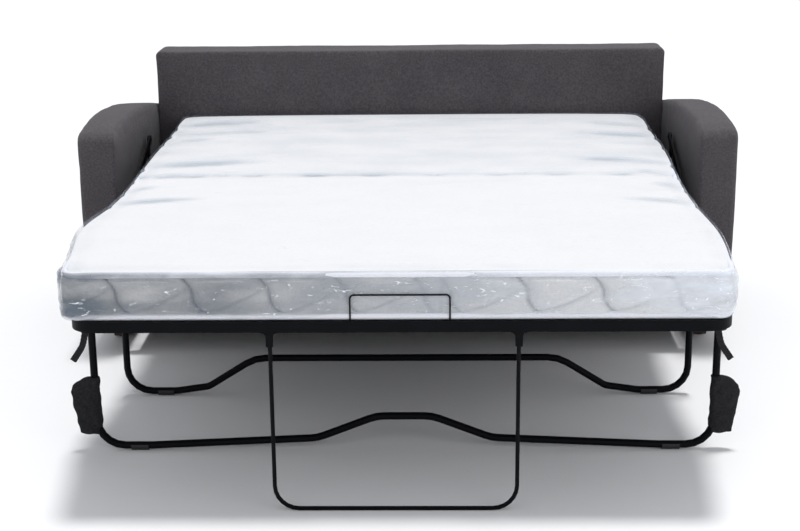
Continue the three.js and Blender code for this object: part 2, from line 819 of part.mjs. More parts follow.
// A cloth guard: a wrap that stands out from the side tube like a fin, widest near its top
function makeSleeves() {
  const y = footHingeY - middleLegLead;
  const heightShares = [1, 0.97, 0.91, 0.83, 0.73, 0.6, 0.3, 0];
  const reachShares = [0.08, 0.34, 0.68, 0.92, 1, 0.97, 0.84, 0.69];
  const thinningShare = 0.4;
  const inner = legTubeRadius + fit + sleeveWall;
  const rings = heightShares.map((share, i) => {
    const reach = inner + (sleeveReach - sleeveWall) * reachShares[i];
    const depth = sleeveHalfDepth - (sleeveHalfDepth - inner) * reachShares[i] * thinningShare;
    const outline = new THREE.Shape();
    outline.moveTo(legHalfWidth, y - inner);
    outline.bezierCurveTo(
      legHalfWidth + reach / 3,
      y - depth,
      legHalfWidth + reach,
      y - depth / 2,
      legHalfWidth + reach,
      y,
    );
    outline.bezierCurveTo(
      legHalfWidth + reach,
      y + depth / 2,
      legHalfWidth + reach / 3,
      y + depth,
      legHalfWidth,
      y + inner,
    );
    outline.absarc(legHalfWidth, y, inner, Math.PI / 2, 1.5 * Math.PI, false);
    return [outline.extractPoints(6).shape, sleeveBottomZ + (sleeveTopZ - sleeveBottomZ) * share];
  });
  rings.reverse();
  const bore = sweptTube(legLine(y, middleSaddle), acrossY, legTubeRadius + fit, tubeSides);
  const body = stackedRings(rings).subtract(bore);
  place("leg_guard_right", body, blackWebbing);
  place("leg_guard_left", mirrored(body), blackWebbing);
}

// Thin front leg, its two brackets and what else the foot rail carries
function frontLegY() {
  return frameFrontY + frontLegSetback;
}

function makeFrontLeg() {
  const y = frontLegY();
  const topZ = axisZ - frontLegDrop;
  const corners = [
    [-frontLegHalfWidth, topZ],
    [-frontLegHalfWidth, rodRadius],
    [frontLegHalfWidth, rodRadius],
    [frontLegHalfWidth, topZ],
  ].map(([x, z]) => new THREE.Vector3(frontLegOffset + x, y, z));
  const rod = sweptTube(
    roundedLine(corners, [frontLegBendRadius, frontLegBendRadius], bendSteps + 1),
    acrossY,
    rodRadius,
    8,
  );
  const eyes = [-1, 1].map((side) => {
    const low = frontLegOffset + side * frontLegHalfWidth - rodRadius;
    return rodAlongX(low, low + 2 * rodRadius, y, topZ, rodRadius + fit);
  });
  const holes = [-1, 1].map((side) => {
    const low = frontLegOffset + side * frontLegHalfWidth - 2 * rodRadius;
    return rodAlongX(low, low + 4 * rodRadius, y, topZ, bracketPinRadius + fit);
  });
  place("front_leg", rod.add(join(eyes)).subtract(join(holes)), blackPaint);
}

function makeBrackets() {
  const y = frontLegY();
  const topZ = axisZ - railHalfHeight - fit;
  const plateFrontY = y - rodRadius - 2 * fit - bracketPlate - fit;
  const half = bracketFlangeWidth / 2;
  const neck = bracketNeckWidth / 2;
  const shoulder = bracketDrop / 3;
  const pinReach = rodRadius + bracketPinReach;
  for (const [name, x] of [
    ["leg_bracket_left", frontLegOffset - frontLegHalfWidth],
    ["leg_bracket_right", frontLegOffset + frontLegHalfWidth],
  ]) {
    const face = new THREE.Shape();
    face.moveTo(x - half, topZ);
    face.lineTo(x - half, topZ - bracketPlate);
    face.quadraticCurveTo(x - neck, topZ - bracketPlate, x - neck, topZ - shoulder);
    face.lineTo(x - neck, topZ - bracketDrop + neck / 2);
    face.quadraticCurveTo(x - neck, topZ - bracketDrop, x - neck / 2, topZ - bracketDrop);
    face.lineTo(x + neck / 2, topZ - bracketDrop);
    face.quadraticCurveTo(x + neck, topZ - bracketDrop, x + neck, topZ - bracketDrop + neck / 2);
    face.lineTo(x + neck, topZ - shoulder);
    face.quadraticCurveTo(x + neck, topZ - bracketPlate, x + half, topZ - bracketPlate);
    face.lineTo(x + half, topZ);
    face.closePath();
    const front = alongY(face, plateFrontY, plateFrontY + bracketPlate);
    const flange = alongZ(
      rectangle(x - half, plateFrontY, x + half, plateFrontY + bracketFlangeDepth, bracketPlate),
      topZ - bracketPlate,
      topZ,
    );
    const cheekZ = axisZ - frontLegDrop;
    const cheek = new THREE.Shape();
    cheek.moveTo(plateFrontY, topZ);
    cheek.lineTo(plateFrontY, cheekZ - rodRadius - bracketPlate);
    cheek.lineTo(y, cheekZ - rodRadius - bracketPlate);
    cheek.absarc(y, cheekZ, rodRadius + bracketPlate, -Math.PI / 2, 0, false);
    cheek.lineTo(y + rodRadius + bracketPlate, topZ);
    cheek.closePath();
    const cheeks = [-1, 1].map((side) => {
      const inside = rodRadius + fit;
      const low = side < 0 ? x - inside - bracketPlate : x + inside;
      return alongX(cheek, low, low + bracketPlate);
    });
    const pin = rodAlongX(x - pinReach, x + pinReach, y, cheekZ, bracketPinRadius);
    place(name, join([front, flange, ...cheeks, pin]), blackPaint);
  }
}

function makeRetainerBar() {
  const y = frameFrontY + wireSetback;
  const low = frameTopZ + fit;
  const corners = [
    [-wireHalfWidth, low],
    [-wireHalfWidth, low + wireRise],
    [wireHalfWidth, low + wireRise],
    [wireHalfWidth, low],
  ].map(([x, z]) => new THREE.Vector3(x, y, z));
  const line = roundedLine(corners, [wireBendRadius, wireBendRadius], bendSteps);
  place("retainer_bar", sweptTube(line, acrossY, wireRadius, 8), blackPaint);
}

// A short strap that hangs from the underside of the front rail and swings outwards
function makeStraps() {
  const topZ = axisZ - railHalfHeight - fit;
  const rearY = frameFrontY + strapSetback;
  const frontY = rearY - strapThickness;
  const x = bedHalfWidth - strapInset;
  const line = roundedLine(
    [
      new THREE.Vector3(x, 0, topZ),
      new THREE.Vector3(x + strapSwing / 4, 0, topZ - strapLength / 2),
      new THREE.Vector3(x + strapSwing, 0, topZ - strapLength),
    ],
    [strapBendRadius],
    2 * bendSteps,
  );
  const hanging = alongY(ribbon(line, strapWidth), frontY, rearY);
  const tab = alongZ(
    rectangle(x - strapWidth / 2, rearY - strapTabLength, x + strapWidth / 2, rearY),
    topZ - strapThickness,
    topZ,
  );
  const body = hanging.add(tab);
  place("corner_strap_right", body, blackWebbing);
  place("corner_strap_left", mirrored(body), blackWebbing);
}

// The outline of a flat strap that follows a line in the XZ plane, cut level at its top
function ribbon(line, width) {
  const across = line.map((point, i) => {
    const before = line[Math.max(i - 1, 0)];
    const after = line[Math.min(i + 1, line.length - 1)];
    const along = after.clone().sub(before).normalize();
    if (i === 0) return new THREE.Vector2(width / 2, 0);
    return new THREE.Vector2(-along.z, along.x).multiplyScalar(width / 2);
  });
  const outline = new THREE.Shape();
  line.forEach((point, i) => {
    if (i === 0) outline.moveTo(point.x + across[i].x, point.z + across[i].y);
    else outline.lineTo(point.x + across[i].x, point.z + across[i].y);
  });
  for (let i = line.length - 1; i >= 0; i--) {
    outline.lineTo(line[i].x - across[i].x, line[i].z - across[i].y);
  }
  outline.closePath();
  return outline;
}

// Lift links
function makeLinks() {
  const plateOutside = innerHalfWidth - fit;
  const plateInside = plateOutside - sidePlateThickness;
  const armOutside = plateInside - linkPlaneGap;
  const armInside = armOutside - linkThickness;
  const linkOutside = armInside - fit;
  const linkInside = linkOutside - linkThickness;

  const plateOutline = rectangle(
    liftPivotY - sidePlateLength / 2,
    liftPivotZ - sidePlateHeight / 2,
    liftPivotY + sidePlateLength / 2,
    liftPivotZ + sidePlateHeight / 2,
    sidePlateHeight / 6,
  );
  const groundStud = join([
    rodAlongX(armInside, plateInside + overrun / 2, liftPivotY, liftPivotZ, linkPinRadius),
    rodAlongX(armOutside + fit, plateInside + overrun / 2, liftPivotY, liftPivotZ, linkPinRadius + pinHeadHeight),
  ]);
  const plate = alongX(plateOutline, plateInside, plateOutside).add(groundStud);

  const armBar = barOutline(liftPivotY, liftPivotZ, elbowY, elbowZ, linkHalfWidth);
  addHole(armBar, liftPivotY, liftPivotZ, linkPinRadius + fit);
  const elbowStud = rodAlongX(linkInside - fit - pinHeadHeight / 2, armOutside - fit, elbowY, elbowZ, linkPinRadius);
  const arm = alongX(armBar, armInside, armOutside).add(elbowStud);

  const linkBar = barOutline(elbowY, elbowZ, seatPivotY, axisZ, linkHalfWidth);
  addHole(linkBar, elbowY, elbowZ, linkPinRadius + fit);
  const seatStud = join([
    rodAlongX(outerRailInside - fit, linkInside + fit, seatPivotY, axisZ, linkPinRadius),
    rodAlongX(bedHalfWidth + fit, linkInside + fit, seatPivotY, axisZ, linkPinRadius + pinHeadHeight),
  ]);
  const link = alongX(linkBar, linkInside, linkOutside).add(seatStud);

  for (const [sideName, side] of [
    ["left", -1],
    ["right", 1],
  ]) {
    const turned = (body) => (side < 0 ? mirrored(body) : body);
    place(`side_plate_${sideName}`, turned(plate), blackPaint);
    place(`lift_arm_${sideName}`, turned(arm), blackPaint);
    place(`lift_link_${sideName}`, turned(link), blackPaint);
  }
}

makeArms();
makeBackrest();
makeFrontRail();
makeDustCover();
makeFeet();
makeHeadSection();
makeSeatSection();
makeMiddleSection();
makeFootSection();
makeHingePins();
makeMattress();
makeLeg("rear_leg", middleHingeY + rearLegSetback, rearSaddle);
makeLeg("middle_leg", footHingeY - middleLegLead, middleSaddle);
makeSleeves();
makeFrontLeg();
makeBrackets();
makeRetainerBar();
makeStraps();
makeLinks();

sofa.position.set(0, -depthMiddle, 0);

export default sofa;
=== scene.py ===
"""A sleeper sofa with its bed pulled out: upholstery, mattress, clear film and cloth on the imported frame.

Lengths are in metres, in the row frame: +X to the right, -Y to the front of the bed, +Z up.
The steel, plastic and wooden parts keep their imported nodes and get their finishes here.
"""

import math

import bmesh
import bpy
import numpy as np
from mathutils import Matrix, Vector, noise


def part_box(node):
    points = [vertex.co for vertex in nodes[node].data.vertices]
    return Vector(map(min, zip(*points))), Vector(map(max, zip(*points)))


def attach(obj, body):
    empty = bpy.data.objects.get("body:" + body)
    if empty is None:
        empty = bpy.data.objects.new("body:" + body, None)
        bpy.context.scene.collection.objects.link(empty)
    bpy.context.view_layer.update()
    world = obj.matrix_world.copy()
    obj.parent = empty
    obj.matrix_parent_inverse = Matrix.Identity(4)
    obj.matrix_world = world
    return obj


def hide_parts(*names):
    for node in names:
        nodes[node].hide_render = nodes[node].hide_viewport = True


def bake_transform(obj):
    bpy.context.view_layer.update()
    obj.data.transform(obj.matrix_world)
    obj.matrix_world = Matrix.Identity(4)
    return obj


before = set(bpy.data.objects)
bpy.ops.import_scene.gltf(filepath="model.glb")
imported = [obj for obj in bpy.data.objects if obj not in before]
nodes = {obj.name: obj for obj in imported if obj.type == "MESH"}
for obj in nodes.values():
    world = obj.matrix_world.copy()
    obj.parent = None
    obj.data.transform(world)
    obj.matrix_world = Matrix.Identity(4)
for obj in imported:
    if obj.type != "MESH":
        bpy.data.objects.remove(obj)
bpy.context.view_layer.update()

# Camera and studio

CAMERA_PLACE = (0.069, -4.109, 1.4914)
CAMERA_PITCH = 16.013
CAMERA_YAW = 1.24
CAMERA_ROLL = -0.589
CAMERA_LENS = 66.75
SENSOR_WIDTH = 36
FLOOR_REACH = 40.0
SURROUND_COLOUR = (0.95, 0.97, 1.0)
SURROUND_LIGHT = 0.62
TOP_LIGHT = 1.9
TOP_LIGHT_SPREAD = 9
TOP_LIGHT_TILT = (-5, 3)
FILL_AIM = (0, 0, 0.4)

# Square fill lights: place, size and power
FILL_LIGHTS = {
    "front_fill": ((-2.4, -5.0, 2.4), 2.6, 19),
    "side_fill": ((2.7, -3.7, 1.5), 2.4, 31),
}


def make_camera():
    """The photograph's view: a little above the bed, almost square to its front."""
    data = bpy.data.cameras.new("camera")
    data.lens = CAMERA_LENS
    data.sensor_width = SENSOR_WIDTH
    camera = bpy.data.objects.new("camera", data)
    turn = Matrix.Rotation(math.radians(CAMERA_YAW), 4, "Z")
    tilt = Matrix.Rotation(math.radians(90 - CAMERA_PITCH), 4, "X")
    roll = Matrix.Rotation(math.radians(CAMERA_ROLL), 4, "Z")
    camera.matrix_world = Matrix.Translation(CAMERA_PLACE) @ turn @ tilt @ roll
    bpy.context.scene.collection.objects.link(camera)
    bpy.context.scene.camera = camera


def add_softbox(name, place, size, power):
    """A square area light that faces the middle of the bed."""
    data = bpy.data.lights.new(name, "AREA")
    data.size = size
    data.energy = power
    light = bpy.data.objects.new(name, data)
    light.location = place
    aim = Vector(FILL_AIM) - Vector(place)
    light.rotation_mode = "QUATERNION"
    light.rotation_quaternion = aim.to_track_quat("-Z", "Y")
    bpy.context.scene.collection.objects.link(light)


def make_studio():
    """A pale floor that runs out of sight, an even surround, a broad top light and weak fill lights."""
    world = bpy.data.worlds.new("studio")
    world.use_nodes = True
    surround = world.node_tree.nodes["Background"]
    surround.inputs["Color"].default_value = rgba(SURROUND_COLOUR)
    surround.inputs["Strength"].default_value = SURROUND_LIGHT
    bpy.context.scene.world = world
    bpy.context.scene.view_settings.view_transform = "Standard"
    data = bpy.data.lights.new("top_light", "SUN")
    data.energy = TOP_LIGHT
    data.angle = math.radians(TOP_LIGHT_SPREAD)
    light = bpy.data.objects.new("top_light", data)
    light.rotation_euler = (math.radians(TOP_LIGHT_TILT[0]), math.radians(TOP_LIGHT_TILT[1]), 0)
    bpy.context.scene.collection.objects.link(light)
    for name, (place, size, power) in FILL_LIGHTS.items():
        add_softbox(name, place, size, power)
    corners = [(-1, -1), (1, -1), (1, 1), (-1, 1)]
    points = [(x * FLOOR_REACH, y * FLOOR_REACH, 0) for x, y in corners]
    floor = mesh_object("studio_floor", points, [(0, 1, 2, 3)], studio_floor_paint())


# Shader building blocks


def add_node(tree, kind, links=None, **settings):
    """A shader node with its settings, and its inputs linked or set by name or number."""
    made = tree.nodes.new(kind)
    for key, value in settings.items():
        setattr(made, key, value)
    for key, value in (links or {}).items():
        socket = made.inputs[key]
        if isinstance(value, bpy.types.NodeSocket):
            tree.links.new(value, socket)
        else:
            socket.default_value = value
    return made


def rgba(colour):
    """A linear colour with full cover."""
    return (*colour, 1.0)


def from_screen(red, green, blue):
    """A linear colour from the 0-255 values that a screen shows."""
    shares = [value / 255 for value in (red, green, blue)]
    return tuple(((v + 0.055) / 1.055) ** 2.4 if v > 10 / 255 else v / 12.92 for v in shares)


def calculate(tree, operation, *terms, clamp=False):
    """The result of one sum on sockets or numbers."""
    links = dict(enumerate(terms))
    return add_node(tree, "ShaderNodeMath", links, operation=operation, use_clamp=clamp).outputs[0]


def mix_colours(tree, share, first, second):
    """A blend from the first colour to the second."""
    links = {"Factor": share, "A": first, "B": second}
    return add_node(tree, "ShaderNodeMix", links, data_type="RGBA").outputs["Result"]


def between(tree, value, low, high, first=0.0, last=1.0):
    """A value between two limits, carried over to two other limits."""
    links = {"Value": value, 1: low, 2: high, 3: first, 4: last}
    return add_node(tree, "ShaderNodeMapRange", links).outputs[0]


def cloud_noise(tree, place, scale, detail, roughness=0.5, distortion=0.0):
    """Soft noise round one half."""
    form = {"Detail": detail, "Roughness": roughness, "Distortion": distortion}
    return add_node(tree, "ShaderNodeTexNoise", {"Vector": place, "Scale": scale, **form}).outputs["Fac"]


def stored(tree, name):
    """A value that the mesh carries at its points."""
    return add_node(tree, "ShaderNodeAttribute", attribute_name=name).outputs["Fac"]


def new_group(name, inputs, outputs):
    """An empty shader group with named inputs, their first values, and outputs."""
    tree = bpy.data.node_groups.new(name, "ShaderNodeTree")
    for label, value in inputs.items():
        kind = "NodeSocketColor" if isinstance(value, tuple) else "NodeSocketFloat"
        socket = tree.interface.new_socket(label, in_out="INPUT", socket_type=kind)
        socket.default_value = rgba(value) if isinstance(value, tuple) else value
    for label, kind in outputs.items():
        tree.interface.new_socket(label, in_out="OUTPUT", socket_type=kind)
    return tree, tree.nodes.new("NodeGroupInput").outputs, tree.nodes.new("NodeGroupOutput")


# Slubs, cloudy patches and rubbed patches to the metre
SLUB_SCALE = 170.0
CLOUD_SCALE = 9.0
RUBBED_SCALE = 14.0


def woven_group():
    """Yarns crossing over and under, with lighter and darker slubs."""
    inputs = {
        "Dark Yarn": (0.05, 0.05, 0.05),
        "Light Yarn": (0.1, 0.1, 0.1),
        "Yarns per Metre": 900.0,
        "Slub Contrast": 0.5,
    }
    outputs = {"Color": "NodeSocketColor", "Height": "NodeSocketFloat", "Roughness": "NodeSocketFloat"}
    tree, given, result = new_group("woven cloth", inputs, outputs)
    place = add_node(tree, "ShaderNodeTexCoord").outputs["Object"]
    waves = []
    for direction in ("X", "Y", "Z"):
        links = {"Vector": place, "Scale": given["Yarns per Metre"], "Distortion": 1.5, "Detail": 1.0}
        waves.append(add_node(tree, "ShaderNodeTexWave", links, bands_direction=direction).outputs["Fac"])
    crossed = calculate(tree, "MULTIPLY", waves[0], waves[1])
    height = calculate(tree, "MULTIPLY", calculate(tree, "ADD", crossed, waves[2]), 0.5)
    slub = between(tree, cloud_noise(tree, place, SLUB_SCALE, 5.0, 0.7), 0.32, 0.68)
    drift = between(tree, cloud_noise(tree, place, CLOUD_SCALE, 3.0), 0.3, 0.7, -0.12, 0.12)
    share = calculate(tree, "MULTIPLY", calculate(tree, "ADD", slub, drift), given["Slub Contrast"])
    yarn = mix_colours(tree, share, given["Dark Yarn"], given["Light Yarn"])
    tree.links.new(yarn, result.inputs["Color"])
    tree.links.new(height, result.inputs["Height"])
    tree.links.new(between(tree, height, 0.0, 1.0, 0.95, 0.82), result.inputs["Roughness"])
    return tree


def handled_group():
    """A finish with faint dust, rubbed patches and a fine grain."""
    inputs = {
        "Finish": (0.1, 0.1, 0.1),
        "Rubbed": (0.3, 0.3, 0.3),
        "Wear": 0.2,
        "Grain per Metre": 700.0,
        "Roughness": 0.4,
    }
    outputs = {"Color": "NodeSocketColor", "Roughness": "NodeSocketFloat", "Height": "NodeSocketFloat"}
    tree, given, result = new_group("handled finish", inputs, outputs)
    place = add_node(tree, "ShaderNodeTexCoord").outputs["Object"]
    scuffs = between(tree, cloud_noise(tree, place, RUBBED_SCALE, 6.0, 0.65), 0.52, 0.78)
    worn = calculate(tree, "MULTIPLY", scuffs, given["Wear"])
    grain = cloud_noise(tree, place, given["Grain per Metre"], 3.0)
    rough = calculate(tree, "ADD", given["Roughness"], between(tree, grain, 0.0, 1.0, -0.09, 0.09))
    colour = mix_colours(tree, worn, given["Finish"], given["Rubbed"])
    tree.links.new(colour, result.inputs["Color"])
    tree.links.new(calculate(tree, "MULTIPLY_ADD", worn, 0.3, rough), result.inputs["Roughness"])
    tree.links.new(grain, result.inputs["Height"])
    return tree


WOVEN = woven_group()
HANDLED = handled_group()


def new_material(name):
    """A material with its shader, and the tree that holds them."""
    material = bpy.data.materials.new(name)
    material.use_nodes = True
    return material, material.node_tree, material.node_tree.nodes["Principled BSDF"]


def place_group(tree, group, values):
    """One use of a shader group, with its own values."""
    made = tree.nodes.new("ShaderNodeGroup")
    made.node_tree = group
    for label, value in values.items():
        made.inputs[label].default_value = rgba(value) if isinstance(value, tuple) else value
    return made


def add_bump(tree, shader, height, depth, share):
    """The height as a bump of that depth on the shader's normal."""
    bump = add_node(tree, "ShaderNodeBump", {"Height": height, "Distance": depth, "Strength": share})
    tree.links.new(bump.outputs["Normal"], shader.inputs["Normal"])


def woven_material(name, dark, light, yarns, depth=0.0006, contrast=0.6, sheen=0.0):
    """A woven cloth of two yarn colours, given as a screen shows them, with its yarns to the metre."""
    material, tree, shader = new_material(name)
    values = {
        "Dark Yarn": from_screen(*dark),
        "Light Yarn": from_screen(*light),
        "Yarns per Metre": yarns,
        "Slub Contrast": contrast,
    }
    cloth = place_group(tree, WOVEN, values)
    tree.links.new(cloth.outputs["Color"], shader.inputs["Base Color"])
    tree.links.new(cloth.outputs["Roughness"], shader.inputs["Roughness"])
    add_bump(tree, shader, cloth.outputs["Height"], depth, 0.6)
    shader.inputs["Specular IOR Level"].default_value = 0.25
    shader.inputs["Sheen Weight"].default_value = sheen
    shader.inputs["Sheen Roughness"].default_value = 0.5
    return material


GRAIN_DEPTH = 0.0002


def handled_material(name, finish, rubbed, wear, grain, roughness, metallic=0.0, coat=0.0, gloss=0.5):
    """A painted, plated, moulded or varnished surface with slight wear, in linear colours."""
    material, tree, shader = new_material(name)
    wearing = {"Wear": wear, "Grain per Metre": grain, "Roughness": roughness}
    surface = place_group(tree, HANDLED, {"Finish": finish, "Rubbed": rubbed, **wearing})
    tree.links.new(surface.outputs["Color"], shader.inputs["Base Color"])
    tree.links.new(surface.outputs["Roughness"], shader.inputs["Roughness"])
    add_bump(tree, shader, surface.outputs["Height"], GRAIN_DEPTH, 0.4)
    shader.inputs["Metallic"].default_value = metallic
    shader.inputs["Specular IOR Level"].default_value = gloss
    shader.inputs["Coat Weight"].default_value = coat
    return material


def studio_floor_paint():
    """A matt off-white floor with a barely visible grain."""
    return handled_material("studio floor paint", (0.9, 0.9, 0.91), (0.87, 0.87, 0.88), 0.2, 30.0, 0.7)


# Blue-grey of the painted shade on the film's top, in its folds and toward the head
FILM_TOP_SHADE = from_screen(158, 178, 194)
# Painted reflection on the film's sides: this blue-grey where it lies in painted shade on the left, the next
# near-white where painted light falls from the right and on the long sides
FILM_SIDE_SHADE = from_screen(90, 101, 113)
FILM_SIDE_LIGHT = from_screen(234, 240, 249)
# White of the painted glints along the film's crinkles
FILM_GLINT = (0.95, 0.97, 1.0)
FILM_ROUGHNESS = 0.18
CRINKLE_STRETCH = (14.0, 30.0, 44.0)
CRINKLE_DEPTH = 0.004

# Where the film counts as lying on the top, and how much its veil covers, from 0 for clear to 1: on the
# sides a painted reflection, on the top painted shade in the folds and toward the head
TOP_LEVEL = 0.8
# Cover of the painted reflection on the film's sides
SIDE_REFLECTION_COVER = 0.38
FOLD_SHADE_COVER = 0.27
FRONT_SHADE_COVER = 0.012
HEAD_SHADE_COVER = 0.07
GATHER_COVER = 0.3


def film_material():
    """Clear film as a blue-grey veil: painted shade in its folds and toward the head, a painted reflection
    on the sides that is darker to the left and whiter to the right, and painted white glints on its fine
    crinkles.
    """
    material, tree, shader = new_material("clear film")
    place = add_node(tree, "ShaderNodeTexCoord").outputs["Object"]
    along = add_node(tree, "ShaderNodeSeparateXYZ", {0: place}).outputs["Y"]
    stretch = add_node(tree, "ShaderNodeMapping", {"Vector": place, "Scale": CRINKLE_STRETCH}).outputs[0]
    crinkles = cloud_noise(tree, stretch, 1.7, 7.0, 0.66, 1.6)
    # Painted glints where the crinkles are highest
    glints = between(tree, crinkles, 0.6, 0.7)
    patches = between(tree, cloud_noise(tree, stretch, 0.3, 5.0), 0.38, 0.62, 0.45, 1.4)
    level = stored(tree, "level")
    top = calculate(tree, "GREATER_THAN", level, TOP_LEVEL)
    # Painted reflection colour on the sides, from the shaded left to the lit right
    side_reflection = mix_colours(tree, stored(tree, "painted_light_share"), rgba(FILM_SIDE_SHADE), rgba(FILM_SIDE_LIGHT))
    clear = mix_colours(tree, top, side_reflection, rgba(FILM_TOP_SHADE))
    colour = mix_colours(tree, glints, clear, rgba(FILM_GLINT))
    side = between(tree, level, 0.3, TOP_LEVEL, SIDE_REFLECTION_COVER, 0.0)
    # Painted shade on the top: faint in front of the fold line, stronger toward the head, where the back and
    # arms shade it
    flat = between(tree, along, -0.07, 0.08, FRONT_SHADE_COVER, HEAD_SHADE_COVER)
    # Stronger painted shade where the film tilts in its folds
    folds = between(tree, level, 0.965, 0.9996, FOLD_SHADE_COVER, flat)
    painted_cover = calculate(tree, "MULTIPLY_ADD", top, folds, side)
    denser = calculate(tree, "MULTIPLY_ADD", stored(tree, "gathered"), GATHER_COVER, painted_cover)
    uneven = calculate(tree, "MULTIPLY", denser, patches)
    # The painted glints show more where the veil is denser, most of all at the gathered corners
    white = calculate(tree, "MULTIPLY_ADD", denser, 1.5, 0.06)
    cover = calculate(tree, "MULTIPLY_ADD", glints, white, uneven, clamp=True)
    tree.links.new(colour, shader.inputs["Base Color"])
    tree.links.new(cover, shader.inputs["Alpha"])
    shader.inputs["Roughness"].default_value = FILM_ROUGHNESS
    add_bump(tree, shader, crinkles, CRINKLE_DEPTH, 0.6)
    return material


# Grey of the painted shade in the border's quilting seams and under its top tape
SEAM_SHADE = from_screen(156, 158, 162)


def border_material():
    """The mattress border's grey knit, with painted shade in its quilting seams and a painted shadow under
    the top tape.
    """
    material = woven_material("grey border knit", (204, 204, 206), (228, 227, 225), 480, 0.0006, 0.7)
    tree = material.node_tree
    shader = tree.nodes["Principled BSDF"]
    knit = shader.inputs["Base Color"].links[0].from_socket
    # Painted shade from the stored seam values
    colour = mix_colours(tree, stored(tree, "seam"), knit, rgba(SEAM_SHADE))
    tree.links.new(colour, shader.inputs["Base Color"])
    return material


def make_materials():
    """Every finish on the sofa, by the name that the pieces use."""
    coat, rubbed_coat = from_screen(7, 8, 12), from_screen(24, 25, 29)
    moulded, rubbed_moulding = from_screen(20, 20, 22), from_screen(52, 52, 55)
    stain, rubbed_wood = from_screen(38, 27, 22), from_screen(72, 52, 40)
    plate, rubbed_plate = (0.42, 0.43, 0.45), (0.24, 0.24, 0.25)
    return {
        "charcoal": woven_material("charcoal weave", (63, 60, 64), (102, 96, 100), 620, 0.0008, 0.75, 0.12),
        # The seam thread is darker than the weave: a real seam cord whose colour also paints in the seam's
        # shade
        "thread": woven_material("charcoal thread", (38, 36, 41), (60, 57, 62), 900, 0.0004),
        "knit": woven_material("white stretch knit", (226, 226, 228), (238, 238, 240), 520, 0.0004, 0.5),
        "border": border_material(),
        "tape": woven_material("binding tape", (226, 228, 236), (240, 241, 246), 700, 0.0004),
        "film": film_material(),
        "deck": woven_material("deck cloth", (30, 31, 34), (52, 54, 58), 420),
        "lining": woven_material("black lining", (20, 20, 22), (38, 38, 40), 800, 0.0004),
        "webbing": woven_material("black webbing", (14, 14, 16), (44, 44, 47), 380, 0.0009, 0.8),
        "paint": handled_material("black powder coat", coat, rubbed_coat, 0.25, 900, 0.44, gloss=0.07),
        "zinc": handled_material("zinc plate", plate, rubbed_plate, 0.5, 400, 0.34, metallic=1.0),
        "plastic": handled_material("black plastic", moulded, rubbed_moulding, 0.25, 1200, 0.5),
        "wood": handled_material("stained wood", stain, rubbed_wood, 0.5, 60, 0.45, coat=0.2),
    }


# Mesh building blocks


def mesh_object(name, points, faces, material):
    """A new smooth object from points and faces."""
    mesh = bpy.data.meshes.new(name)
    mesh.from_pydata([tuple(p) for p in points], [], faces)
    mesh.materials.append(material)
    mesh.update()
    made = bpy.data.objects.new(name, mesh)
    bpy.context.scene.collection.objects.link(made)
    for face in mesh.polygons:
        face.use_smooth = True
    return made


def lattice(points, close_rows=False, close_columns=False):
    """The points of a (rows, columns, 3) array as a list, and the quads over them."""
    rows, columns = points.shape[:2]
    numbers = np.arange(rows * columns).reshape(rows, columns)
    if close_rows:
        numbers = np.vstack([numbers, numbers[:1]])
    if close_columns:
        numbers = np.hstack([numbers, numbers[:, :1]])
    quads = np.stack([numbers[:-1, :-1], numbers[:-1, 1:], numbers[1:, 1:], numbers[1:, :-1]], axis=-1)
    return points.reshape(-1, 3), quads.reshape(-1, 4)


def lattice_object(name, points, material, close_rows=False, close_columns=False):
    """A smooth sheet through a grid of points."""
    flat, quads = lattice(points, close_rows, close_columns)
    return mesh_object(name, flat.tolist(), quads.tolist(), material)


def coordinates(mesh):
    """A mesh's points as an array."""
    flat = np.zeros(len(mesh.vertices) * 3)
    mesh.vertices.foreach_get("co", flat)
    return flat.reshape(-1, 3)


def set_coordinates(mesh, points):
    """The mesh's points from an array."""
    mesh.vertices.foreach_set("co", np.asarray(points, float).ravel())
    mesh.update()


def normals(mesh):
    """A mesh's vertex normals as an array."""
    return np.array([v.vector for v in mesh.vertex_normals])


def store(mesh, name, values):
    """A value for each point of the mesh, which its material reads by name."""
    mesh.attributes.new(name, "FLOAT", "POINT").data.foreach_set("value", np.asarray(values, float).ravel())


def apply_modifiers(piece):
    """The piece's modifiers as its own mesh."""
    evaluated = piece.evaluated_get(bpy.context.evaluated_depsgraph_get())
    mesh = bpy.data.meshes.new_from_object(evaluated)
    piece.modifiers.clear()
    piece.data = mesh
    for face in mesh.polygons:
        face.use_smooth = True


def joined(name, parts):
    """Several objects as one."""
    with bpy.context.temp_override(active_object=parts[0], selected_editable_objects=parts):
        bpy.ops.object.join()
    parts[0].name = name
    parts[0].data.name = name
    return parts[0]


def tube(name, path, radius, material, sides=8, closed=False):
    """A round cord of cloth or thread along a path."""
    path = np.asarray(path, float)
    ahead = np.roll(path, -1, axis=0)
    behind = np.roll(path, 1, axis=0)
    if not closed:
        ahead[-1], behind[0] = path[-1], path[0]
    along = ahead - behind
    along /= np.linalg.norm(along, axis=1)[:, None]
    guide = np.where(np.abs(along[:, 2:3]) < 0.9, np.array([[0.0, 0.0, 1.0]]), np.array([[0.0, 1.0, 0.0]]))
    side = np.cross(along, guide)
    side /= np.linalg.norm(side, axis=1)[:, None]
    up = np.cross(side, along)
    turn = np.linspace(0, 2 * math.pi, sides, endpoint=False)
    ring = side[:, None] * np.cos(turn)[None, :, None] + up[:, None] * np.sin(turn)[None, :, None]
    return lattice_object(name, path[:, None] + radius * ring, material, closed, True)


def rippled(points, scale, depth, seed):
    """How far soft noise moves each point, up to about the depth."""
    shift = Vector((seed, seed * 0.37, seed * 0.71))
    return np.array([noise.noise(Vector(p) * scale + shift) for p in points]) * depth


def smooth_step(share):
    """A share from 0 to 1 with a soft start and end."""
    share = np.clip(share, 0, 1)
    return share * share * (3 - 2 * share)


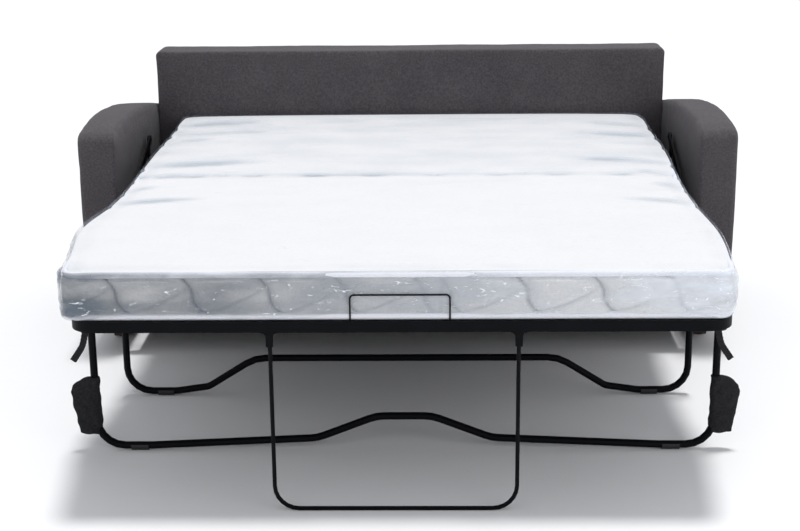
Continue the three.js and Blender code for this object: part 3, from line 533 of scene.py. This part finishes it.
def hump(value, place, reach):
    """Near 1 round the place and near 0 beyond the reach from it."""
    return np.exp(-(((value - place) / reach) ** 2))


# Upholstery

FABRIC_VOXEL = 0.009
FABRIC_SWELL = 0.004
FILL_PRESSURE = 4.0
FILL_FRAMES = 20
FILL_QUALITY = 4

# Unevenness of the padding: waves to the metre and depth
PADDING_WAVES = ((7.0, 0.0016), (26.0, 0.0006))

# How far each padded piece stands out past its packed block: to the left, to the right and upward
FULLNESS = {
    "left_arm": (0.013, 0.002, 0.005),
    "right_arm": (0.002, 0.011, 0.005),
    "backrest": (0.003, 0.003, 0.005),
    "front_rail": (0, 0, 0),
}

SEAM_RADIUS = 0.0026
SEAM_SINK = 0.0035
ARM_SEAM_CENTRE = 0.4
ARM_SEAM_STEP = 0.012
BACK_SEAM_RADIUS = SEAM_RADIUS * 1.4
BACK_SEAM_INSET = 0.022
BACK_SEAM_SINK = 0.001
BACK_SEAM_STEP = 0.02


def node_copy(name, node, material):
    """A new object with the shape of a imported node."""
    mesh = nodes[node].data.copy()
    mesh.materials.clear()
    mesh.materials.append(material)
    made = bpy.data.objects.new(name, mesh)
    bpy.context.scene.collection.objects.link(made)
    return made


def remesh(piece, voxel):
    """An even mesh of small quads over the piece."""
    modifier = piece.modifiers.new("even mesh", "REMESH")
    modifier.mode = "VOXEL"
    modifier.voxel_size = voxel
    apply_modifiers(piece)


def inflate(piece, reach):
    """Fills the piece like a cushion by a cloth simulation, moving no point further than the reach."""
    start = coordinates(piece.data)
    cloth = piece.modifiers.new("filling", "CLOTH")
    cloth.settings.quality = FILL_QUALITY
    cloth.settings.use_pressure = True
    cloth.settings.uniform_pressure_force = FILL_PRESSURE
    cloth.settings.effector_weights.gravity = 0
    scene = bpy.context.scene
    for number in range(1, FILL_FRAMES + 1):
        scene.frame_set(number)
    evaluated = piece.evaluated_get(bpy.context.evaluated_depsgraph_get())
    filled = coordinates(evaluated.data)
    piece.modifiers.clear()
    scene.frame_set(1)
    moved = filled - start
    length = np.linalg.norm(moved, axis=1)[:, None]
    set_coordinates(piece.data, start + moved * np.minimum(1, reach / np.maximum(length, 1e-9)))


def soften(piece, rounds=2):
    """Evens out small steps in the mesh."""
    modifier = piece.modifiers.new("soften", "SMOOTH")
    modifier.iterations = rounds
    modifier.factor = 0.5
    apply_modifiers(piece)


def fill_out(points, node, low, high):
    """Points stretched from the box they lie in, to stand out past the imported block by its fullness."""
    block_low, block_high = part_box(node)
    left, right, upward = FULLNESS[node]
    filled = np.array(points, float)
    filled[:, 0] = np.interp(filled[:, 0], (low[0], high[0]), (block_low.x - left, block_high.x + right))
    filled[:, 2] = np.interp(filled[:, 2], (low[2], high[2]), (block_low.z, block_high.z + upward))
    return filled


def upholster(name, node, seed):
    """A packed block as padded cloth: drawn in a little, filled, then gently uneven."""
    piece = node_copy(name, node, FINISH["charcoal"])
    remesh(piece, FABRIC_VOXEL)
    set_coordinates(piece.data, coordinates(piece.data) - FABRIC_SWELL * normals(piece.data))
    inflate(piece, FABRIC_SWELL)
    soften(piece)
    points = coordinates(piece.data)
    uneven = sum(rippled(points, scale, depth, seed) for scale, depth in PADDING_WAVES)
    points = points + uneven[:, None] * normals(piece.data)
    set_coordinates(piece.data, fill_out(points, node, points.min(axis=0), points.max(axis=0)))
    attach(piece, "sofa_body")
    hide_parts(node)


def upper_rear(node):
    """The (y, z) place of the node's upper corner at its very back."""
    return max((round(v.co.y, 5), round(v.co.z, 5)) for v in nodes[node].data.vertices)


def resampled(path, step):
    """Points at an even step along a path."""
    path = np.asarray(path, float)
    lengths = np.concatenate([[0], np.cumsum(np.linalg.norm(np.diff(path, axis=0), axis=1))])
    count = max(2, round(lengths[-1] / step))
    places = np.linspace(0, lengths[-1], count)
    return np.stack([np.interp(places, lengths, path[:, axis]) for axis in range(path.shape[1])], axis=1)


def add_seam(name, path, radius, closed=False):
    """A line of thread on the upholstery, darker than the cloth, which paints in the shade along the seam.
    """
    seam = tube(name, path, radius, FINISH["thread"], closed=closed)
    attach(seam, "sofa_body")


def make_arm(side, sign):
    """One arm, with a seam on each side that runs straight from its upper rear corner to its lower front."""
    node = f"{side}_arm"
    upholster(f"{side}_arm_upholstery", node, 3.0 + sign)
    low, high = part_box(node)
    inner, outer = (low.x, high.x) if sign > 0 else (high.x, low.x)
    ends = [upper_rear(node), (low.y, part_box("front_rail")[1].z * 0.5)]
    centre_y, centre_z = (low.y + high.y) / 2, ARM_SEAM_CENTRE
    for label, x in (("inner", inner + sign * SEAM_SINK), ("outer", outer - sign * SEAM_SINK)):
        path = []
        for y, z in resampled(ends, ARM_SEAM_STEP):
            toward = Vector((0, centre_y - y, centre_z - z)).normalized() * SEAM_SINK
            path.append((x, y + toward.y, z + toward.z))
        add_seam(f"{side}_arm_{label}_seam", fill_out(path, node, low, high), SEAM_RADIUS)


def make_backrest():
    """The back, with the seam round its rear panel."""
    upholster("backrest_upholstery", "backrest", 7.0)
    low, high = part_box("backrest")
    left, right = low.x + BACK_SEAM_INSET, high.x - BACK_SEAM_INSET
    bottom, top = low.z + BACK_SEAM_INSET, high.z - BACK_SEAM_INSET
    rear = high.y - BACK_SEAM_SINK
    path = [(x, rear, z) for x, z in [(left, bottom), (left, top), (right, top), (right, bottom)]]
    loop = resampled([*path, path[0]], BACK_SEAM_STEP)[:-1]
    add_seam("backrest_rear_seam", fill_out(loop, "backrest", low, high), BACK_SEAM_RADIUS, closed=True)


# Mattress

mattress_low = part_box("mattress_foot")[0]
mattress_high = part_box("mattress_head")[1]
HALF_WIDTH = mattress_high.x
FRONT, REAR = mattress_low.y, mattress_high.y
BOTTOM, TOP = mattress_low.z, mattress_high.z
HINGES = {"head": 0.3175, "middle": -0.2825, "foot": -0.5445}
BEND_REACH = 0.131
CORNER_RADIUS = 0.035
TAPE_RADIUS = 0.0075
LOW_TAPE_RADIUS = 0.009
TAPE_STEP = 0.012
TAPE_INSET = 0.003
TAPE_SIDE_INSET = 0.002
TAPE_SIDE_SINK = 0.004
CORNER_POINTS = 12
BORDER_STEP = 0.0045
BORDER_LEVELS = 34
BORDER_PUFF = 0.006
TOP_SINK = 0.001
UNDERSIDE_RISE = 0.002
UNDERSIDE_COUNTS = (60, 72)

# Quilting of the border: places along it from the middle of the foot, and sizes
QUILT_PITCH = 0.1715
QUILT_FIRST = -0.666
QUILT_JOINT = 0.092
QUILT_SHIFT = 0.0585
QUILT_REACH = 0.066
QUILT_FADE = 0.08
SEAM_WIDTH = 0.008
SEAM_DEPTH = 0.011
# Width of the painted shade line along each quilting seam
SEAM_SHADE_WIDTH = 0.0035
ARC_LOW = 0.12
ARC_RISE = 0.62
ARC_WIDTH = 0.06

# How far the long sides stand out, and their bulges: how much, at which place, over what reach
TICKING_SWELL = 0.95
LEFT_SWELL = 0.009
LEFT_BULGE = (0.04, -0.56, 0.21)
RIGHT_SWELL = 0.003
RIGHT_HEAD_SWELL = 0.02
RIGHT_BULGE = (0.013, -0.6, 0.2)
RIGHT_CORNER_DRAW = 0.014
RIGHT_CORNER_REACH = 0.16

# Form of the top
HEAD_LIFT = 0.018
END_LIFT = 0.01
CROWN = 0.004
EDGE_ROUND = 0.003
EDGE_REACH = 0.05
FOLD_LINE = FRONT + 0.925
FOLD_DEPTH = 0.006
FOLD_WIDTH = 0.007
FOLD_DIP = 0.003
FOLD_DIP_WIDTH = 0.03
FOLD_DASH_PITCH = 0.17
FOLD_DASH_START = -0.30
CREASE_SWEEP = 0.05

# How far from the middle the retainer bar presses on the border, and how strongly
BAR_REACH = 0.135
BAR_FADE = 0.06
BAR_HOLD = 0.75

# Creases from the left (-1) and right (1): place along the bed, reach inward, depth and half width
SIDE_CREASES = {
    -1: [
        (0.69, 0.36, 0.005, 0.016),
        (0.56, 0.46, 0.007, 0.018),
        (0.44, 0.26, 0.004, 0.012),
        (0.10, 0.44, 0.007, 0.012),
        (-0.04, 0.14, 0.005, 0.008),
        (-0.17, 0.10, 0.004, 0.008),
        (-0.30, 0.26, 0.005, 0.009),
    ],
    1: [
        (0.66, 0.30, 0.004, 0.015),
        (0.50, 0.32, 0.006, 0.016),
        (0.35, 0.20, 0.004, 0.012),
        (0.12, 0.32, 0.006, 0.012),
        (-0.02, 0.13, 0.004, 0.008),
        (-0.16, 0.10, 0.004, 0.008),
        (-0.32, 0.20, 0.004, 0.009),
    ],
}


def side_swell(sign, y):
    """How far the long sides stand out: the left one most near the foot, the right one toward the head."""
    left_height, *left_bulge = LEFT_BULGE
    right_height, *right_bulge = RIGHT_BULGE
    left = LEFT_SWELL + left_height * hump(y, *left_bulge)
    toward_head = RIGHT_HEAD_SWELL * smooth_step((y + 0.2) / 0.6)
    right = RIGHT_SWELL + toward_head + right_height * hump(y, *right_bulge)
    return np.where(sign < 0, left, right)


def head_lift(y):
    """How much thicker the mattress lies toward the head, most of all at its end."""
    return HEAD_LIFT * smooth_step((y + 0.45) / 0.75) + END_LIFT * smooth_step((y - 0.58) / 0.24)


def rim(step):
    """Points and outward directions round the mattress, and their distances from the middle of its foot."""
    turns = np.linspace(-math.pi / 2, 0, CORNER_POINTS)
    x = [0.0]
    y = [FRONT]
    out = [(0.0, -1.0)]
    side, front, rear = HALF_WIDTH - CORNER_RADIUS, FRONT + CORNER_RADIUS, REAR - CORNER_RADIUS
    centres = [(side, front), (side, rear), (-side, rear), (-side, front)]
    for quarter, (centre_x, centre_y) in enumerate(centres):
        for turn in turns + quarter * math.pi / 2:
            x.append(centre_x + CORNER_RADIUS * math.cos(turn))
            y.append(centre_y + CORNER_RADIUS * math.sin(turn))
            out.append((math.cos(turn), math.sin(turn)))
    line = np.column_stack([x + [0.0], y + [FRONT], out + [(0.0, -1.0)]])
    lengths = np.concatenate([[0], np.cumsum(np.linalg.norm(np.diff(line[:, :2], axis=0), axis=1))])
    around = lengths[-1]
    count = round(around / step)
    places = np.arange(count) * around / count
    points = np.stack([np.interp(places, lengths, line[:, axis]) for axis in range(4)], axis=1)
    return points, np.where(places > around / 2, places - around, places)


def edge_pinch(sign, y):
    """How far each crease draws the edge in where it starts."""
    drawn = 0 * y
    for place, _, depth, width in SIDE_CREASES[sign]:
        drawn = drawn + 1.3 * depth * hump(y, place - CREASE_SWEEP, 1.6 * width)
    return drawn


def swollen(x, y, share):
    """x moved out by a share of the side swell."""
    held = smooth_step((y - FRONT) / 0.12) * (0.4 + 0.6 * smooth_step((REAR - y) / 0.1))
    out = held * side_swell(np.sign(x), y) - np.where(x < 0, edge_pinch(-1, y), edge_pinch(1, y))
    out = out - np.where(x > 0, RIGHT_CORNER_DRAW * hump(y, FRONT, RIGHT_CORNER_REACH), 0)
    return x + share * out * np.sign(x) * (np.abs(x) / HALF_WIDTH) ** 3


def quilt_places(along, height):
    """Where a point of the border lies between two seams, and its distance from the nearer one."""
    shifted = np.where(along > QUILT_JOINT, along - QUILT_SHIFT, along) - QUILT_FIRST
    turned = 2 * height - 1
    share = (shifted - QUILT_REACH * (1 - turned * np.abs(turned)) / 2) / QUILT_PITCH
    return share, (share - np.round(share)) * QUILT_PITCH


def quilt_arc(share, height):
    """The distance from the weaker seam that bows up from each quilting seam, and its strength there."""
    position = share - np.floor(share)
    off = np.abs(height - ARC_LOW - ARC_RISE * position**1.6)
    return off, np.sin(math.pi * np.clip(position, 0, 1)) ** 0.5


def quilt_groove(along, height):
    """How deep the border's quilting lies, at a distance along the border and a share of its height."""
    share, gap = quilt_places(along, height)
    off, strength = quilt_arc(share, height)
    wave = np.exp(-np.abs(gap / SEAM_WIDTH) ** 1.2)
    arc = np.exp(-np.abs(off / ARC_WIDTH) ** 1.2) * strength
    joint = hump(along, QUILT_JOINT, 0.004)
    pillow = np.abs(np.sin(math.pi * share)) * 0.4
    under_tape = 0.7 * smooth_step((height - 0.86) / 0.1)
    return SEAM_DEPTH * (wave + 0.45 * arc + 0.7 * joint + under_tape - pillow)


def quilt_seam_shade(along, height):
    """How strongly painted shade darkens the border at each point: in the quilting seams, their arcs and the
    joint, on one side of each seam, and as a painted shadow under the top tape.
    """
    share, gap = quilt_places(along, height)
    off, strength = quilt_arc(share, height)
    wave = hump(gap, 0, SEAM_SHADE_WIDTH)
    arc = 0.55 * hump(off, 0, ARC_WIDTH / 2) * strength
    joint = 0.6 * hump(along, QUILT_JOINT, 0.003)
    # Painted shadow under the top tape
    under_tape = 0.9 * hump(height, 0.965, 0.03) * np.ones_like(along)
    shade = 0.25 * hump(np.clip(gap, 0, None), 0, 0.02) * (gap > 0)
    return np.clip(wave + arc + joint + under_tape + shade, 0, 1)


def top_relief(x, y):
    """The height of the mattress's top over its level: its crown, its fold line and its side creases."""
    edge_x = smooth_step((HALF_WIDTH - np.abs(x)) / EDGE_REACH)
    edge_y = smooth_step(np.minimum(y - FRONT, REAR - y) / EDGE_REACH)
    crown = head_lift(y) + CROWN * (1 - (x / HALF_WIDTH) ** 4)
    rounded = -EDGE_ROUND * ((1 - edge_x) + (1 - edge_y))
    dashes = np.clip(np.sin(2 * math.pi * (x - FOLD_DASH_START) / FOLD_DASH_PITCH), 0, 1)
    fold = -FOLD_DEPTH * hump(y, FOLD_LINE, FOLD_WIDTH) * (0.45 + 0.55 * dashes)
    relief = crown + rounded + fold - FOLD_DIP * hump(y, FOLD_LINE, FOLD_DIP_WIDTH)
    for sign, creases in SIDE_CREASES.items():
        for place, reach, depth, width in creases:
            inward = (HALF_WIDTH - sign * x) / reach
            inside = (inward > 0) & (inward < 1)
            share = np.clip(inward, 0, 1)
            line = place - CREASE_SWEEP * (1 - share) ** 2
            size = depth * np.sqrt(share) * (1 - share) * 2 * inside
            relief = relief - size * hump(y, line, width)
            relief = relief + 0.6 * size * hump(y, line + 2.4 * width, 1.5 * width)
    return relief


def panel(name, height, relief, material, swell, across=150, along=180):
    """The top or bottom panel: rows across the bed that narrow round its corners."""
    inset = TAPE_RADIUS * 0.6
    rows = np.linspace(FRONT + inset, REAR - inset, along)
    depth = np.minimum(rows - FRONT, REAR - rows)
    corner = np.clip(CORNER_RADIUS - depth, 0, CORNER_RADIUS)
    half = HALF_WIDTH - inset - CORNER_RADIUS + np.sqrt(CORNER_RADIUS**2 - corner**2)
    share = np.linspace(-1, 1, across)
    x = share[None, :] * half[:, None]
    y = np.repeat(rows[:, None], across, axis=1)
    points = np.stack([swollen(x, y, swell), y, height + relief(x, y)], axis=-1)
    return lattice_object(name, points, material)


def behind_bar(line):
    """Near 1 where the retainer bar holds the border and the film in, at the middle of the foot."""
    near = 1 - smooth_step((np.abs(line[:, 0]) - BAR_REACH) / BAR_FADE)
    return near * (line[:, 1] < FRONT + 0.01)


def border_points(step, levels, base, top, puff, swell, relief, clearance=0):
    """Rings of points up the mattress's side, moved out and up by the relief."""
    line, along = rim(step)
    share = np.linspace(0, 1, levels)
    held = 1 - BAR_HOLD * behind_bar(line)
    bulge = np.sin(math.pi * share)[:, None] ** 0.7
    moved_out, moved_up = relief(line, along, share)
    out = (puff * bulge + moved_out) * held[None, :] + clearance
    z = base + (top + head_lift(line[None, :, 1]) - base) * share[:, None] + moved_up
    x = line[None, :, 0] + out * line[None, :, 2]
    y = line[None, :, 1] + out * line[None, :, 3]
    return np.stack([swollen(x, y, swell), y, z], axis=-1)


def quilting(line, along, share):
    """How the quilting draws the border in, less so beside the two tapes."""
    fade = np.clip(np.minimum(share, 1 - share) / QUILT_FADE, 0, 1)[:, None]
    return -quilt_groove(along[None, :], share[:, None]) * fade, 0


def tape_ring(label, height, lift, radius):
    """The rolled tape round one edge, drawn in a little along the sides."""
    line, _ = rim(TAPE_STEP)
    sunk = smooth_step((line[:, 1] - FRONT - 0.02) / 0.12)
    inward = TAPE_INSET + TAPE_SIDE_INSET * sunk
    x = line[:, 0] - inward * line[:, 2]
    y = line[:, 1] - inward * line[:, 3]
    z = height + lift * (head_lift(y) - TAPE_SIDE_SINK * sunk)
    path = np.stack([swollen(x, y, TICKING_SWELL), y, z], axis=1)
    return tube(f"mattress_{label}_tape", path, radius, FINISH["tape"], 10, True)


def make_whole_mattress():
    """The mattress in one piece: two panels, a quilted border and the tape round each edge."""
    knit, quilted = FINISH["knit"], FINISH["border"]
    base, high = BOTTOM + TAPE_RADIUS, TOP - TAPE_RADIUS
    top = panel("mattress_top", TOP - TOP_SINK, top_relief, knit, TICKING_SWELL)
    flat = BOTTOM + UNDERSIDE_RISE
    under = panel("mattress_underside", flat, lambda x, y: 0 * x, quilted, TICKING_SWELL, *UNDERSIDE_COUNTS)
    under.data.flip_normals()
    wall = border_points(BORDER_STEP, BORDER_LEVELS, base, high, BORDER_PUFF, TICKING_SWELL, quilting)
    border = lattice_object("mattress_border", wall, quilted, close_columns=True)
    _, along = rim(BORDER_STEP)
    # Painted seam shade, stored for the border's material
    store(border.data, "seam", quilt_seam_shade(along[None, :], np.linspace(0, 1, BORDER_LEVELS)[:, None]))
    low_tape = tape_ring("low", BOTTOM + LOW_TAPE_RADIUS, 0, LOW_TAPE_RADIUS)
    high_tape = tape_ring("high", high, 1, TAPE_RADIUS)
    return joined("mattress", [top, under, border, low_tape, high_tape])


def cut_between(piece, name, front, rear):
    """The part of a mesh between two places along the bed, as a new object."""
    mesh = piece.data.copy()
    whole = bmesh.new()
    whole.from_mesh(mesh)
    for place, direction in ((rear, 1), (front, -1)):
        if place is not None:
            geometry = [*whole.verts, *whole.edges, *whole.faces]
            plane = {"plane_co": (0, place, 0), "plane_no": (0, direction, 0)}
            bmesh.ops.bisect_plane(whole, geom=geometry, **plane, clear_outer=True)
    whole.to_mesh(mesh)
    whole.free()
    mesh.name = name
    made = bpy.data.objects.new(name, mesh)
    bpy.context.scene.collection.objects.link(made)
    return made


def bend_zones():
    """Each stretch of the bed that bends: name, two ends, the bodies it joins, hinge and sense."""
    head_cut = (HINGES["head"] - BEND_REACH + HINGES["middle"] + BEND_REACH) / 2
    foot_cut = HINGES["foot"] + BEND_REACH
    return [
        ("head", head_cut, None, "seat_section", "head_section", HINGES["head"], 1),
        ("middle", foot_cut, head_cut, "seat_section", "middle_section", HINGES["middle"], -1),
        ("foot", None, foot_cut, "middle_section", "foot_section", HINGES["foot"], -1),
    ]


def split_and_bend(whole, label, replaced):
    """Cuts a piece as long as the bed in three, and hides the imported nodes that each part replaces."""
    for name, front, rear, first, second, hinge, direction in bend_zones():
        piece = cut_between(whole, f"{label}_{name}", front, rear)
        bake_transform(piece)
        if name in replaced:
            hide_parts(*replaced[name])
    bpy.data.objects.remove(whole)


def make_mattress():
    """The mattress, cut into three parts along the bed."""
    replaced = {
        "head": ["mattress_head", "mattress_head_crease"],
        "middle": ["mattress_seat", "mattress_middle_crease"],
        "foot": ["mattress_foot", "mattress_middle", "mattress_foot_crease"],
    }
    split_and_bend(make_whole_mattress(), "mattress_part", replaced)


# Clear film over the mattress

FILM_SWELL = 1.0
FILM_GAP = 0.0025
FILM_STAND_OFF = 0.0055
FILM_CLEARANCE = 0.0012
FILM_EDGE = 0.001
FILM_STEP = 0.006
FILM_LEVELS = 28
FILM_COUNTS = (140, 260)
CORNER_GATHER = 0.04
CORNER_VEIL = 0.09
TAPE_TOP = BOTTOM + 0.014
TAPE_LEVEL = 0.72

# Creases and waves of the film: scale, depth and seed
FILM_CREASES = ((22.0, 0.006, 5.0), (60.0, 0.0025, 9.0))
FILM_LONG_WAVES = (1.4, 0.0035, 2.0)
FILM_FINE_WAVES = (4.2, 0.003, 6.0)

# How far the film's tips reach out at the left and the right front corner
TIP_REACH = (0.013, 0.004)


def from_corner(line):
    """The distance of each point from the nearer front corner of the mattress."""
    return np.hypot(np.abs(line[:, 0]) - HALF_WIDTH, line[:, 1] - FRONT)


def film_bunching(line, along, share):
    """How the film stands off the border: creased everywhere, gathered to a tip at each front corner."""
    height = share[:, None]
    shape = (len(share), len(along))
    axes = [line[None, :, 0], line[None, :, 1], height * 0.1]
    places = np.stack([np.broadcast_to(axis, shape) for axis in axes], axis=-1).reshape(-1, 3)
    creased = sum(np.abs(rippled(places, *form)) for form in FILM_CREASES).reshape(shape)
    gathered = hump(from_corner(line), 0, CORNER_GATHER)[None, :]
    tips = hump(height, 0.95, 0.16) + 0.9 * hump(height, 0, 0.13)
    fold = 0.35 + 0.65 * np.abs(np.sin(height * 11.0))
    reach = np.where(line[None, :, 0] < 0, *TIP_REACH)
    closing = np.clip(np.minimum(height, 1 - height) / 0.15, 0, 1)
    return creased * closing + gathered * (reach * tips + 0.004 * fold), 0.15 * reach * gathered * tips


def film_relief(x, y):
    """The film's height over the mattress's top: it follows it and lifts in long low waves."""
    points = np.stack([x * 2.0, y * 6.0, 0 * x], axis=-1).reshape(-1, 3)
    waves = np.abs(rippled(points, *FILM_LONG_WAVES)).reshape(x.shape)
    fine = np.abs(rippled(points, *FILM_FINE_WAVES)).reshape(x.shape)
    return top_relief(x, y) + waves + fine * (0.15 + 0.85 * smooth_step((y + 0.1) / 0.9))


def make_film():
    """The clear film that still wraps the mattress, with the values that its material reads."""
    top = panel("film_top", TOP + FILM_GAP, film_relief, FINISH["film"], FILM_SWELL, *FILM_COUNTS)
    base, high, puff = BOTTOM + FILM_EDGE, TOP + FILM_EDGE, BORDER_PUFF + FILM_STAND_OFF
    wall = border_points(FILM_STEP, FILM_LEVELS, base, high, puff, FILM_SWELL, film_bunching, FILM_CLEARANCE)
    side = lattice_object("film_side", wall, FINISH["film"], close_columns=True)
    gathered = hump(from_corner(rim(FILM_STEP)[0]), 0, CORNER_VEIL)
    store(side.data, "gathered", np.tile(gathered, FILM_LEVELS))
    film = joined("film", [top, side])
    facing = np.abs(normals(film.data))
    places = coordinates(film.data)
    over_tape = TAPE_LEVEL * (places[:, 2] < TAPE_TOP)
    store(film.data, "level", np.maximum(facing[:, 2], over_tape))
    # Share of painted light on the film's sides: more toward the right, and on the long sides
    lit_toward_right = np.clip(places[:, 0] + 0.45, 0, 1)
    long_side = 0.8 * (1 - smooth_step((facing[:, 1] - 0.3) / 0.3))
    store(film.data, "painted_light_share", np.maximum(lit_toward_right, long_side))
    split_and_bend(film, "film_cover", {})


# Decks, lining, leg guards and straps

# Points across and along each cloth, its sag in the middle, and how many puckers of what depth
DECK_COUNTS = (80, 30)
DECK_SAG = 0.004
DECK_PUCKERS = (14, 0.0008)
LINING_COUNTS = (90, 42)
LINING_SAG = 0.005
LINING_PUCKERS = (18, 0.0006)
LINING_DROP = 0.0006

SMALL_CLOTH_VOXEL = 0.0022
SMALL_CLOTH_WAVES = 45.0
GUARD_PUCKER = 0.004
GUARD_SEEDS = {"left": 3.0, "right": 5.0}
STRAP_PUCKER = 0.0006
STRAP_SEED = 8.0


def stretched_cloth(name, node, counts, sag, puckers, drop, material):
    """A sheet over its node's box that sags in the middle and puckers at its edges, and its flat size."""
    low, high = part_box(node)
    x, y = np.meshgrid(np.linspace(low.x, high.x, counts[0]), np.linspace(low.y, high.y, counts[1]))
    share_x = (x - low.x) / (high.x - low.x)
    share_y = (y - low.y) / (high.y - low.y)
    hollow = sag * np.sin(math.pi * share_x) ** 0.5 * np.sin(math.pi * share_y) ** 0.5
    waves, depth = puckers
    pulled = depth * np.cos(2 * math.pi * share_x * waves) * (1 - np.sin(math.pi * share_y))
    cloth = lattice_object(name, np.stack([x, y, high.z - drop - hollow + pulled], axis=-1), material)
    return cloth, (high.x - low.x, high.y - low.y)


def make_deck(name, body):
    """A cloth deck that sags a little between its rails."""
    node = f"{name}_deck"
    form = DECK_COUNTS, DECK_SAG, DECK_PUCKERS, 0
    cloth, flat = stretched_cloth(f"{node}_cloth", node, *form, FINISH["deck"])
    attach(cloth, body)
    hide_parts(node)


def make_lining():
    """The cloth stapled under the sofa."""
    form = LINING_COUNTS, LINING_SAG, LINING_PUCKERS, LINING_DROP
    cloth, flat = stretched_cloth("base_lining", "dust_cover", *form, FINISH["lining"])
    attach(cloth, "sofa_body")
    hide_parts("dust_cover")


def webbing_copy(name, node, body, depth, seed):
    """A small part of black webbing with the shape of its node, puckered."""
    piece = node_copy(name, node, FINISH["webbing"])
    remesh(piece, SMALL_CLOTH_VOXEL)
    points = coordinates(piece.data)
    pucker = rippled(points, SMALL_CLOTH_WAVES, depth, seed)
    set_coordinates(piece.data, points + pucker[:, None] * normals(piece.data))
    soften(piece, 1)
    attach(piece, body)
    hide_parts(node)
    return piece


def make_small_cloth():
    """The sleeves on the middle leg and the straps at the foot's corners."""
    for side, seed in GUARD_SEEDS.items():
        node = f"leg_guard_{side}"
        guard = webbing_copy(f"leg_sleeve_{side}", node, "middle_leg", GUARD_PUCKER, seed)
        node = f"corner_strap_{side}"
        strap = webbing_copy(f"corner_webbing_{side}", node, "foot_section", STRAP_PUCKER, STRAP_SEED)


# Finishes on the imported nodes

# Words in the nodes' names for each finish: where two fit, the later finish holds
STEEL_PARTS = ["_frame", "rear_leg", "middle_leg", "front_leg", "leg_bracket"]
MECHANISM_PARTS = ["retainer_bar", "lift_arm", "lift_link", "side_plate"]
NODE_FINISHES = {
    "paint": STEEL_PARTS + MECHANISM_PARTS,
    "zinc": ["_pin"],
    "plastic": ["_glide"],
    "wood": ["_foot"],
}


def finish_nodes():
    """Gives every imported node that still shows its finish."""
    for name, node in nodes.items():
        if node.hide_render:
            continue
        for finish, words in NODE_FINISHES.items():
            if any(word in name for word in words):
                node.data.materials.clear()
                node.data.materials.append(FINISH[finish])


FINISH = make_materials()
make_camera()
make_studio()
make_arm("left", -1)
make_arm("right", 1)
make_backrest()
upholster("front_rail_upholstery", "front_rail", 12.0)
make_mattress()
make_film()
for section in ("head", "seat", "middle", "foot"):
    make_deck(section, f"{section}_section")
make_lining()
make_small_cloth()
finish_nodes()
